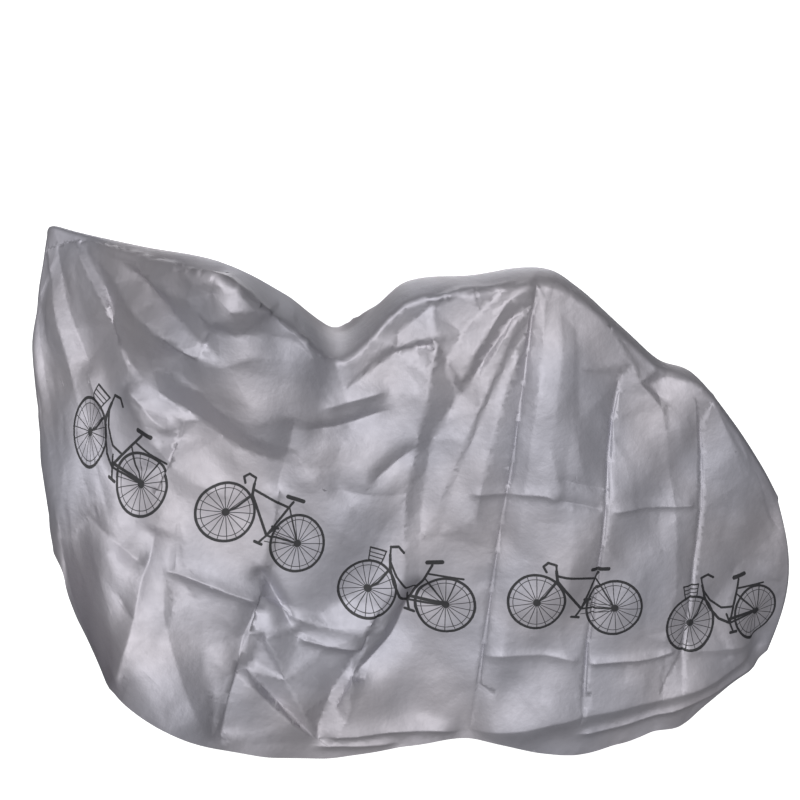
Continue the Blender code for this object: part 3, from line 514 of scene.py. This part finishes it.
def wall_directions(side, along, down):
    """How a wall runs at each place: per metre along it, and per metre down it."""
    ahead, behind = (np.clip(along + step, 0.0, SHEET_LENGTH) for step in (TINY, -TINY))
    lower, higher = (np.clip(down + step, -SHOULDER_LENGTH, WALL_LENGTH) for step in (TINY, -TINY))
    run_along = wall_points(side, ahead, down) - wall_points(side, behind, down)
    run_down = wall_points(side, along, lower) - wall_points(side, along, higher)
    return run_along / (ahead - behind)[:, None], run_down / (lower - higher)[:, None]


def places_on_wall(side, spots):
    """Where on a wall each (x, z) spot lies, as (along, down)."""
    step = FIRST_GUESS_STEP
    along, down = (part.ravel() for part in np.meshgrid(
        np.linspace(step, SHEET_LENGTH - step, int(SHEET_LENGTH / step)),
        np.linspace(0.0, WALL_LENGTH, int(WALL_LENGTH / step)), indexing="ij"))
    known = wall_points(side, along, down)
    away = np.hypot(known[None, :, 0] - spots[:, :1], known[None, :, 2] - spots[:, 1:])
    nearest = away.argmin(axis=1)
    along, down = along[nearest], down[nearest]
    for _ in range(GUESS_ROUNDS):
        run_along, run_down = wall_directions(side, along, down)
        miss = spots - wall_points(side, along, down)[:, ::2]
        area = run_along[:, 0] * run_down[:, 2] - run_along[:, 2] * run_down[:, 0]
        area = np.where(np.abs(area) < LEAST_AREA, LEAST_AREA, area)
        step_along = (miss[:, 0] * run_down[:, 2] - miss[:, 1] * run_down[:, 0]) / area
        step_down = (miss[:, 1] * run_along[:, 0] - miss[:, 0] * run_along[:, 2]) / area
        along = along + np.clip(step_along, -step, step)
        down = down + np.clip(step_down, -step, step)
        along = np.clip(along, WELD_MARGIN, SHEET_LENGTH - WELD_MARGIN)
        down = np.clip(down, step - SHOULDER_LENGTH, WALL_LENGTH)
    return np.stack((along, down), axis=-1)


def rounded_path(path):
    """A fold's path as a smooth line, in points a few millimetres apart."""
    knots = np.array(path)
    length = np.linalg.norm(np.diff(knots, axis=0), axis=1).sum()
    count = max(int(length / LINE_STEP), 2 * len(knots))
    return smooth_curve(knots, np.linspace(0.0, len(knots) - 1.0, count))


def path_places(x, z, corners):
    """Each (x, z) against a path: signed distance (left is plus), share of it passed, and run."""
    lengths = np.linalg.norm(np.diff(corners, axis=0), axis=1)
    passed = np.concatenate(((0.0,), np.cumsum(lengths)))
    nearest = np.full(x.shape, np.inf)
    signed, along, run_to_x, run_to_z = (np.zeros(x.shape) for _ in range(4))
    for start, end, length, before in zip(corners[:-1], corners[1:], lengths, passed[:-1]):
        run_x, run_z = (end - start) / length
        reached = np.clip((x - start[0]) * run_x + (z - start[1]) * run_z, 0.0, length)
        gap_x = x - start[0] - run_x * reached
        gap_z = z - start[1] - run_z * reached
        distance = np.hypot(gap_x, gap_z)
        closer = distance < nearest
        nearest = np.where(closer, distance, nearest)
        signed = np.where(closer, distance * np.sign(run_x * gap_z - run_z * gap_x), signed)
        along = np.where(closer, (before + reached) / passed[-1], along)
        run_to_x = np.where(closer, run_x, run_to_x)
        run_to_z = np.where(closer, run_z, run_to_z)
    return signed, along, run_to_x, run_to_z


def fold_move(x, z, fold):
    """How far one fold moves the film at each (x, z): outward, and sideways along x and z."""
    signed, along, run_x, run_z = path_places(x, z, fold["path"])
    away = np.abs(signed) / np.where(signed > 0.0, fold["left"], fold["right"])
    flat_side = 1.0 + CREST_ROUNDING - np.hypot(away, CREST_ROUNDING)
    crest = (flat_side + np.hypot(flat_side, FOOT_ROUNDING)) / 2.0
    ends = smoothstep(along / fold["fade"]) * smoothstep((1.0 - along) / fold["fade"])
    slide = fold["hang"] * ends * crest
    return fold["height"] * crest * ends, slide * run_z, -slide * run_x


def local_fold_move(x, z, fold, moves):
    """Add one fold to moves, working only on the points near it."""
    margin = FOLD_MARGIN * max(fold["left"], fold["right"])
    low, high = fold["path"].min(axis=0) - margin, fold["path"].max(axis=0) + margin
    near = (x > low[0]) & (x < high[0]) & (z > low[1]) & (z < high[1])
    if near.any():
        for move, part in zip(moves, fold_move(x[near], z[near], fold)):
            move[near] += part


def hand_placed_folds(side):
    """The folds and creases of a wall in metres, with smooth paths in (x, z)."""
    for row in NEAR_FOLDS if side == "near" else FAR_FOLDS:
        fold = dict(zip(FOLD_COLUMNS, row))
        for length in FOLD_LENGTHS:
            fold[length] /= MM
        fold["path"] = rounded_path(np.array(fold["path"]) / MM)
        yield fold


def scattered_wrinkles(side):
    """Short folds scattered over a wall, with paths in (along, down)."""
    for numbers in WRINKLES:
        row = dict(zip(WRINKLE_COLUMNS, numbers))
        if row["wall"] != side:
            continue
        dice = np.random.default_rng(row["seed"])
        for _ in range(row["count"]):
            middle = np.array((dice.uniform(0.0, SHEET_LENGTH), dice.uniform(0.0, WALL_LENGTH)))
            turn = dice.normal(*WRINKLE_TURN)
            length = dice.uniform(row["shortest"], row["longest"])
            half = np.array((math.cos(turn), math.sin(turn))) * length / 2
            bend = np.array((-half[1], half[0])) * dice.uniform(-WRINKLE_BEND, WRINKLE_BEND)
            left, right = dice.uniform(row["narrowest"], row["widest"], 2)
            height = row["height"] * dice.uniform(WRINKLE_LOWEST, 1.0) * dice.choice((-1.0, 1.0))
            yield {
                "height": height, "left": left, "right": right, "fade": WRINKLE_FADE, "hang": 0.0,
                "path": rounded_path((middle - half, middle + bend, middle + half)),
            }


def crumple_facets(row, side):
    """One layer of crumple on a wall: corners (along, down), their heights, edges and facets."""
    dice = np.random.default_rng((row["seed"], side == "far"))
    steps = np.array((row["step_along"], row["step_down"]))
    low = np.array((0.0, -SHOULDER_LENGTH)) - steps
    counts = np.ceil((np.array((SHEET_LENGTH, WALL_LENGTH)) + steps - low) / steps).astype(int) + 1
    grid = np.stack(np.meshgrid(*(np.arange(count) for count in counts), indexing="ij"), axis=-1)
    scatter = dice.uniform(-CRUMPLE_SCATTER, CRUMPLE_SCATTER, (counts.prod(), 2))
    corners = low + (grid.reshape(-1, 2) + scatter) * steps
    heights = dice.uniform(-row["height"], row["height"], len(corners))
    flat = delaunay_2d_cdt([Vector(corner) for corner in corners], [], [], 0, SAME_PLACE, True)
    return corners, heights, flat[1], flat[2]


def facet_height(u, v, corners, heights, facets):
    """Height of flat facets at each place (u, v)."""
    result = np.zeros(u.shape)
    for facet in facets:
        a, b, c = corners[facet]
        near = ((u >= min(a[0], b[0], c[0])) & (u <= max(a[0], b[0], c[0]))
                & (v >= min(a[1], b[1], c[1])) & (v <= max(a[1], b[1], c[1])))
        if not near.any():
            continue
        area = (b[0] - a[0]) * (c[1] - a[1]) - (c[0] - a[0]) * (b[1] - a[1])
        to_u, to_v = u[near] - a[0], v[near] - a[1]
        share_b = (to_u * (c[1] - a[1]) - to_v * (c[0] - a[0])) / area
        share_c = (to_v * (b[0] - a[0]) - to_u * (b[1] - a[1])) / area
        inside = (share_b >= 0.0) & (share_c >= 0.0) & (share_b + share_c <= 1.0)
        at_a, at_b, at_c = heights[facet]
        level = at_a + share_b * (at_b - at_a) + share_c * (at_c - at_a)
        result[near] = np.where(inside, level, result[near])
    return result


def crossing_level(place, corners, heights, edges):
    """How far the film stands out where two lines cross."""
    level, nearest = 0.0, np.inf
    for start, end in edges:
        run = corners[end] - corners[start]
        share = np.clip(np.dot(place - corners[start], run) / np.dot(run, run), 0.0, 1.0)
        gap = np.linalg.norm(place - corners[start] - share * run)
        if gap < nearest:
            level, nearest = heights[start] + share * (heights[end] - heights[start]), gap
    return level


def near_facets():
    """The flat facets of the near wall: corners (x, z), their heights, edges and facets."""
    known = {}
    edges = []
    for _, line in FACET_LINES:
        for x, z, height in line:
            known.setdefault((x, z), height)
        numbers = [list(known).index((x, z)) for x, z, _ in line]
        edges.extend(zip(numbers[:-1], numbers[1:]))
    corners, heights = np.array(list(known)) / MM, np.array(list(known.values())) / MM
    flat = delaunay_2d_cdt([Vector(corner) for corner in corners], edges, [], 0, SAME_PLACE, True)
    places = np.array([tuple(place) for place in flat[0]])
    levels = np.array([heights[sources[0]] if sources else np.nan for sources in flat[3]])
    for number in np.flatnonzero(np.isnan(levels)):
        levels[number] = crossing_level(places[number], corners, heights, edges)
    return places, levels, flat[1], flat[2]


def edge_lines(corners, edges):
    """Each edge as a line of places."""
    for start, end in edges:
        run = corners[end] - corners[start]
        share = np.linspace(0.0, 1.0, int(np.linalg.norm(run) / LINE_STEP) + 2)[:, None]
        yield corners[start] + run * share


def crease_lines(side, layers):
    """Lines of places (along, down) on a wall along which the mesh has edges."""
    for fold in hand_placed_folds(side):
        runs = np.gradient(fold["path"], axis=0)
        runs /= np.linalg.norm(runs, axis=1)[:, None]
        aside = np.stack((-runs[:, 1], runs[:, 0]), axis=-1)
        for offset in CREASE_OFFSETS:
            yield places_on_wall(side, fold["path"] + offset * aside)
    if side == "near":
        corners, _, edges, _ = near_facets()
        for line in edge_lines(corners, edges):
            yield places_on_wall(side, line)
    for fold in scattered_wrinkles(side):
        yield fold["path"]
    for corners, _, edges, _ in layers[:SHARP_LAYERS]:
        yield from edge_lines(corners, edges)


def wall_places(side, layers):
    """The mesh of a wall laid flat: its places and triangles, and which places are its border."""
    rows = GRID_DOWN[1:]
    border = np.concatenate([
        np.stack((GRID_ALONG, np.full(GRID_ALONG.shape, -SHOULDER_LENGTH)), axis=-1),
        np.stack((np.zeros(rows.shape), rows), axis=-1),
        np.stack((np.full(rows.shape, SHEET_LENGTH), rows), axis=-1),
    ])
    hem = np.stack((GRID_ALONG[1:-1], np.full(COLUMNS - 1, WALL_LENGTH)), axis=-1)
    inner = np.stack(np.meshgrid(GRID_ALONG[1:-1], rows[:-1], indexing="ij"), axis=-1)
    inner[1::2, :, 1] += (rows[1] - rows[0]) / 2
    inner = inner.reshape(-1, 2)
    inner = inner[inner[:, 1] < WALL_LENGTH - WELD_MARGIN]
    lines = []
    edges = []
    count = 0
    for line in crease_lines(side, layers):
        along, down = line.T
        inside = ((along >= WELD_MARGIN) & (along <= SHEET_LENGTH - WELD_MARGIN)
                  & (down >= WELD_MARGIN - SHOULDER_LENGTH) & (down <= WALL_LENGTH))
        numbers = len(border) + count + np.cumsum(inside) - 1
        for here in np.flatnonzero(inside[:-1] & inside[1:]):
            edges.append((int(numbers[here]), int(numbers[here + 1])))
        lines.append(line[inside])
        count += inside.sum()
    lines = np.concatenate(lines)
    tree = KDTree(len(lines))
    for number, place in enumerate(lines):
        tree.insert((*place, 0.0), number)
    tree.balance()
    clear = [tree.find((*place, 0.0))[2] > CREASE_CLEARANCE for place in inner]
    places = np.concatenate((border, lines, hem, inner[clear]))
    flat = delaunay_2d_cdt([Vector(place) for place in places], edges, [], 0, SAME_PLACE, True)
    places = np.array([tuple(place) for place in flat[0]])
    shared = np.full(len(border), -1)
    for number, sources in enumerate(flat[3]):
        for source in sources:
            if source < len(border):
                shared[source] = number
    triangles = np.array(flat[2])
    # A corner triangle that lies on the border alone is in both walls, so neither keeps it.
    triangles = triangles[~np.isin(triangles, shared).all(axis=1)]
    return places, triangles, shared


def folded_points(side, along, down, layers):
    """Points of the folded film; its folds run out at the ridge and at the two end welds."""
    plain = wall_points(side, along, down)
    run_along, run_down = wall_directions(side, along, down)
    normals = np.cross(run_along, run_down)
    normals /= np.linalg.norm(normals, axis=-1, keepdims=True)
    if side == "near":
        normals = -normals
    x, z = plain[:, 0], plain[:, 2]
    moves = outward, slide_x, slide_z = [np.zeros(x.shape) for _ in range(3)]
    for fold in hand_placed_folds(side):
        local_fold_move(x, z, fold, moves)
    later = FAR_PHASE if side == "far" else 0.0
    for wave_x, wave_z, height, phase in SWELLS:
        outward += height * np.sin(2 * math.pi * (x / wave_x + z / wave_z) + phase + later)
    sideways = np.clip(SIDEWAYS_GAIN * np.abs(normals[:, 1]), 0.0, 1.0)
    outward *= sideways
    for fold in scattered_wrinkles(side):
        local_fold_move(along, down, fold, moves)
    for corners, heights, _, facets in layers:
        outward += facet_height(along, down, corners, heights, facets)
    ridge = wall_points(side, along, np.full(down.shape, -SHOULDER_LENGTH))
    from_ridge = np.linalg.norm(plain - ridge, axis=-1)
    from_weld = np.minimum(*(
        np.linalg.norm(plain - wall_points(side, np.full(along.shape, end), down), axis=-1)
        for end in (0.0, SHEET_LENGTH)
    ))
    fade = smoothstep(from_ridge / RIDGE_FADE) * smoothstep(from_weld / WELD_FADE)
    slide = np.stack((slide_x, np.zeros(x.shape), slide_z), axis=-1)
    outward *= fade
    if side == "near":
        corners, heights, _, facets = near_facets()
        near_ridge = smoothstep(from_ridge / FACET_RIDGE_FADE)
        outward += facet_height(x, z, corners, heights, facets) * sideways * near_ridge
    return plain + normals * outward[:, None] + slide * fade[:, None]


def read_grid(grid, along, down):
    """A grid of values over a wall, read at places on it."""
    last_column, last_row = grid.shape[0] - 1, grid.shape[1] - 1
    column = np.clip(along / SHEET_LENGTH, 0.0, 1.0) * last_column
    row = np.clip((down + SHOULDER_LENGTH) / (WALL_LENGTH + SHOULDER_LENGTH), 0.0, 1.0) * last_row
    left = np.minimum(column.astype(int), last_column - 1)
    upper = np.minimum(row.astype(int), last_row - 1)
    share, lower_share = column - left, row - upper
    top = grid[left, upper] * (1 - share) + grid[left + 1, upper] * share
    bottom = grid[left, upper + 1] * (1 - share) + grid[left + 1, upper + 1] * share
    return top * (1 - lower_share) + bottom * lower_share


def print_places(side, along, down):
    """Where each place of a wall lies in the printed band: along it, and above its middle line."""
    grid = np.stack([
        wall_points(side, GRID_ALONG, np.full(GRID_ALONG.shape, down_to)) for down_to in GRID_DOWN
    ], axis=1)
    steps = np.linalg.norm(np.diff(grid, axis=0), axis=-1)
    travelled = np.concatenate((np.zeros((1, grid.shape[1])), np.cumsum(steps, axis=0)), axis=0)
    saddle = np.abs(grid[:, 0, 0] - SADDLE_X).argmin()
    travelled -= travelled[saddle]
    knots = np.array([row[1:] for row in BAND[side]]) / MM
    line = smooth_curve(knots, np.linspace(0.0, len(knots) - 1.0, BAND_STEPS))
    height, share, _, _ = path_places(
        read_grid(travelled, along, down), read_grid(grid[..., 2], along, down), line)
    run = share * np.linalg.norm(np.diff(line, axis=0), axis=1).sum()
    if side == "far":
        run = -run
    return np.stack((run - MOTIF_START[side], height), axis=-1)


def build_cover_sheet():
    """One sheet from the two walls, which share the ridge and the two end welds."""
    points = []
    faces = []
    uv = []
    for side in ("near", "far"):
        layers = [crumple_facets(dict(zip(CRUMPLE_COLUMNS, row)), side) for row in CRUMPLES]
        places, triangles, shared = wall_places(side, layers)
        along, down = places.T
        wall = folded_points(side, along, down, layers) + TO_FRAME
        prints = print_places(side, along, down)
        number = np.arange(len(wall)) + sum(len(part) for part in points)
        if side == "near":
            near_shared = shared
        else:
            number[shared] = near_shared
            triangles = triangles[:, ::-1]
        points.append(wall)
        faces.append(number[triangles])
        uv.append(prints[triangles])
    points, faces, uv = (np.concatenate(parts) for parts in (points, faces, uv))
    used, numbers = np.unique(faces, return_inverse=True)
    mesh = bpy.data.meshes.new("cover_sheet")
    mesh.from_pydata(points[used].tolist(), [], numbers.reshape(-1, 3).tolist())
    layer = mesh.uv_layers.new(name="print")
    layer.data.foreach_set("uv", uv.reshape(-1).astype(np.float32))
    mesh.shade_smooth()
    return add_object("cover_sheet", mesh)


def add_object(name, data):
    """Put a mesh, lamp or camera into the scene."""
    thing = bpy.data.objects.new(name, data)
    bpy.context.scene.collection.objects.link(thing)
    return thing


class Wiring:
    """Adds nodes to a node tree and links them."""

    MIX_SOCKETS = {"FLOAT": (0, 2, 3, 0), "RGBA": (0, 6, 7, 2)}

    def __init__(self, tree):
        self.tree = tree

    def node(self, kind, **settings):
        node = self.tree.nodes.new(kind)
        for name, value in settings.items():
            setattr(node, name, value)
        return node

    def feed(self, socket, value):
        if hasattr(value, "is_output"):
            self.tree.links.new(value, socket)
        else:
            socket.default_value = value

    def feed_all(self, sockets, values):
        for socket, value in zip(sockets, values):
            self.feed(socket, value)

    def math(self, operation, *values, clamp=False):
        node = self.node("ShaderNodeMath", operation=operation, use_clamp=clamp)
        self.feed_all(node.inputs, values)
        return node.outputs[0]

    def vector(self, operation, *values, scale=None):
        node = self.node("ShaderNodeVectorMath", operation=operation)
        self.feed_all(node.inputs, values)
        if scale is not None:
            self.feed(node.inputs["Scale"], scale)
        is_number = operation in ("DOT_PRODUCT", "LENGTH", "DISTANCE")
        return node.outputs["Value" if is_number else "Vector"]

    def parts(self, vector):
        node = self.node("ShaderNodeSeparateXYZ")
        self.feed(node.inputs[0], vector)
        return node.outputs

    def smaller(self, values):
        found = values[0]
        for value in values[1:]:
            found = self.math("MINIMUM", found, value)
        return found

    def noise(self, place, settings):
        node = self.node("ShaderNodeTexNoise")
        sockets = [node.inputs[name] for name in ("Vector", "Scale", "Detail", "Roughness")]
        self.feed_all(sockets, (place, *settings))
        return node.outputs["Fac"]

    def mapped(self, value, low, high, to_low, to_high):
        node = self.node("ShaderNodeMapRange", interpolation_type="SMOOTHSTEP")
        self.feed_all(node.inputs, (value, low, high, to_low, to_high))
        return node.outputs[0]

    def mix(self, kind, *values):
        node = self.node("ShaderNodeMix", data_type=kind)
        *sockets, result = self.MIX_SOCKETS[kind]
        self.feed_all([node.inputs[number] for number in sockets], values)
        return node.outputs[result]


def line_gap(wiring, place, start, end, half_width):
    """Distance from place to the edge of a round-ended line, in metres."""
    start, end = (Vector((x / MM, z / MM, 0.0)) for x, z in (start, end))
    run = end - start
    offset = wiring.vector("SUBTRACT", place, start)
    share = wiring.vector("DOT_PRODUCT", offset, run / run.length_squared)
    share = wiring.math("ADD", share, 0.0, clamp=True)
    reached = wiring.vector("SCALE", run, scale=share)
    gap = wiring.vector("DISTANCE", offset, reached)
    return wiring.math("SUBTRACT", gap, half_width / MM)


def wheel_gap(wiring, place, hub_x):
    """Distance from place to the ink of a spoked wheel, in metres."""
    offset = wiring.vector("SUBTRACT", place, (hub_x, 0.0, 0.0))
    radius = wiring.vector("LENGTH", offset)
    parts = wiring.parts(offset)
    angle = wiring.math("ARCTAN2", parts["Y"], parts["X"])
    turn = wiring.math("PINGPONG", angle, math.pi / SPOKES)
    spoke = wiring.math("SUBTRACT", wiring.math("MULTIPLY", turn, radius), SPOKE_HALF_WIDTH)
    beyond = wiring.math("SUBTRACT", radius, WHEEL_RADIUS)
    gaps = [wiring.math("MAXIMUM", spoke, beyond), wiring.math("SUBTRACT", radius, HUB_RADIUS)]
    for middle, half_width in ((WHEEL_RADIUS, TYRE_WIDTH / 2), (RIM_RADIUS, SPOKE_HALF_WIDTH)):
        ring = wiring.math("ABSOLUTE", wiring.math("SUBTRACT", radius, middle))
        gaps.append(wiring.math("SUBTRACT", ring, half_width))
    return wiring.smaller(gaps)


def motif_gap(wiring, place, lines):
    """Distance from place to the ink of a motif's lines, in metres."""
    return wiring.smaller([
        line_gap(wiring, place, start, end, half_width)
        for _, half_width, points in lines for start, end in zip(points[:-1], points[1:])
    ])


def print_ink(wiring):
    """1 where the film is printed and 0 elsewhere: two bicycles by turns, along the band."""
    spot = wiring.parts(wiring.node("ShaderNodeUVMap", uv_map="print").outputs[0])
    number = wiring.math("FLOOR", wiring.math("DIVIDE", spot["X"], MOTIF_PITCH))
    along = wiring.math("SUBTRACT", spot["X"], wiring.math("MULTIPLY", number, MOTIF_PITCH))
    odd = wiring.math("PINGPONG", number, 1.0)
    rise = wiring.math("MULTIPLY", wiring.math("SUBTRACT", odd, 0.5), 2 * MOTIF_RISE)
    above = wiring.math("ADD", spot["Y"], rise)
    join = wiring.node("ShaderNodeCombineXYZ")
    wiring.feed(join.inputs["X"], wiring.math("SUBTRACT", along, MOTIF_PITCH / 2))
    wiring.feed(join.inputs["Y"], wiring.math("ADD", above, MOTIF_DROP))
    place = join.outputs[0]
    gap = wiring.mix(
        "FLOAT", odd, motif_gap(wiring, place, ROADSTER), motif_gap(wiring, place, STEP_THROUGH))
    gap = wiring.smaller([gap, *(wheel_gap(wiring, place, hub_x) for hub_x in (HUB_X, -HUB_X))])
    ink = wiring.mapped(gap, *INK_EDGE, 1.0, 0.0)
    # Place number 0 lies across the front fold and stays bare.
    printed = wiring.math("GREATER_THAN", wiring.math("ABSOLUTE", number), 0.5)
    return wiring.math("MULTIPLY", ink, printed)


def film_material():
    """Satin silver-grey film, a little cloudy, hazy and grainy, with black print."""
    material = bpy.data.materials.new("peva_film")
    material.use_nodes = True
    wiring = Wiring(material.node_tree)
    surface = material.node_tree.nodes["Principled BSDF"].inputs
    place = wiring.node("ShaderNodeTexCoord").outputs["Object"]
    ink = print_ink(wiring)
    tint = wiring.mapped(wiring.noise(place, CLOUDS), *CLOUD_RANGE, 0.0, 1.0)
    film = wiring.mix("RGBA", tint, *FILM_TINTS)
    covered = wiring.math("MULTIPLY", ink, INK_COVER)
    wiring.feed(surface["Base Color"], wiring.mix("RGBA", covered, film, INK_COLOUR))
    haze = wiring.mapped(wiring.noise(place, HAZE), *HAZE_RANGE, *FILM_ROUGHNESS)
    wiring.feed(surface["Roughness"], haze)
    metallic = wiring.math("MULTIPLY_ADD", ink, -FILM_METALLIC, FILM_METALLIC)
    wiring.feed(surface["Metallic"], metallic)
    bump = wiring.node("ShaderNodeBump")
    bump.inputs["Strength"].default_value = GRAIN_STRENGTH
    bump.inputs["Distance"].default_value = GRAIN_DEPTH
    wiring.feed(bump.inputs["Height"], wiring.noise(place, GRAIN))
    wiring.feed(surface["Normal"], bump.outputs[0])
    return material


def stage():
    """The pale floor, which throws no light or reflection on the film."""
    mesh = bpy.data.meshes.new("floor")
    quarters = ((-1, -1), (1, -1), (1, 1), (-1, 1))
    corners = [(x * FLOOR_SIZE[0] / 2, y * FLOOR_SIZE[1] / 2, 0.0) for x, y in quarters]
    mesh.from_pydata(corners, [], [(0, 1, 2, 3)])
    floor = add_object("floor", mesh)
    floor.location = FLOOR_MIDDLE
    material = bpy.data.materials.new("floor_paper")
    material.use_nodes = True
    for name, value in FLOOR_LOOKS.items():
        material.node_tree.nodes["Principled BSDF"].inputs[name].default_value = value
    floor.data.materials.append(material)
    floor.visible_diffuse = False
    floor.visible_glossy = False


def lights():
    """A dim studio that the camera sees as a white backdrop, and the lamps."""
    world = bpy.data.worlds.new("studio")
    bpy.context.scene.world = world
    world.use_nodes = True
    tree = world.node_tree
    fill = tree.nodes["Background"]
    backdrop = tree.nodes.new("ShaderNodeBackground")
    for node, (colour, strength) in ((fill, FILL), (backdrop, BACKDROP)):
        node.inputs["Color"].default_value = colour
        node.inputs["Strength"].default_value = strength
    seen = tree.nodes.new("ShaderNodeLightPath")
    choice = tree.nodes.new("ShaderNodeMixShader")
    tree.links.new(seen.outputs["Is Camera Ray"], choice.inputs[0])
    tree.links.new(fill.outputs[0], choice.inputs[1])
    tree.links.new(backdrop.outputs[0], choice.inputs[2])
    tree.links.new(choice.outputs[0], tree.nodes["World Output"].inputs["Surface"])
    for row in LAMPS:
        lamp = dict(zip(LAMP_COLUMNS, row))
        sun = bpy.data.lights.new(lamp["name"], "SUN")
        sun.energy = lamp["strength"]
        sun.angle = math.radians(lamp["softness"])
        holder = add_object(lamp["name"], sun)
        tilt = math.radians(90.0 - lamp["height"])
        holder.rotation_euler = (tilt, 0.0, math.radians(lamp["turn"]))
    bpy.context.scene.view_settings.view_transform = "Standard"


def camera():
    """The camera, at the photograph's viewing angle."""
    lens = bpy.data.cameras.new("camera")
    lens.lens = LENS_MM
    lens.sensor_width = SENSOR_MM
    eye = add_object("camera", lens)
    eye.location = Vector(CAMERA_PLACE) + Vector(TO_FRAME)
    look = Vector((
        math.sin(CAMERA_YAW) * math.cos(CAMERA_PITCH),
        math.cos(CAMERA_YAW) * math.cos(CAMERA_PITCH),
        -math.sin(CAMERA_PITCH),
    ))
    eye.rotation_euler = look.to_track_quat("-Z", "Y").to_euler()
    bpy.context.scene.camera = eye


sheet = build_cover_sheet()
sheet.data.materials.append(film_material())
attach(sheet, "root")
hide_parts("cover")
stage()
lights()
camera()
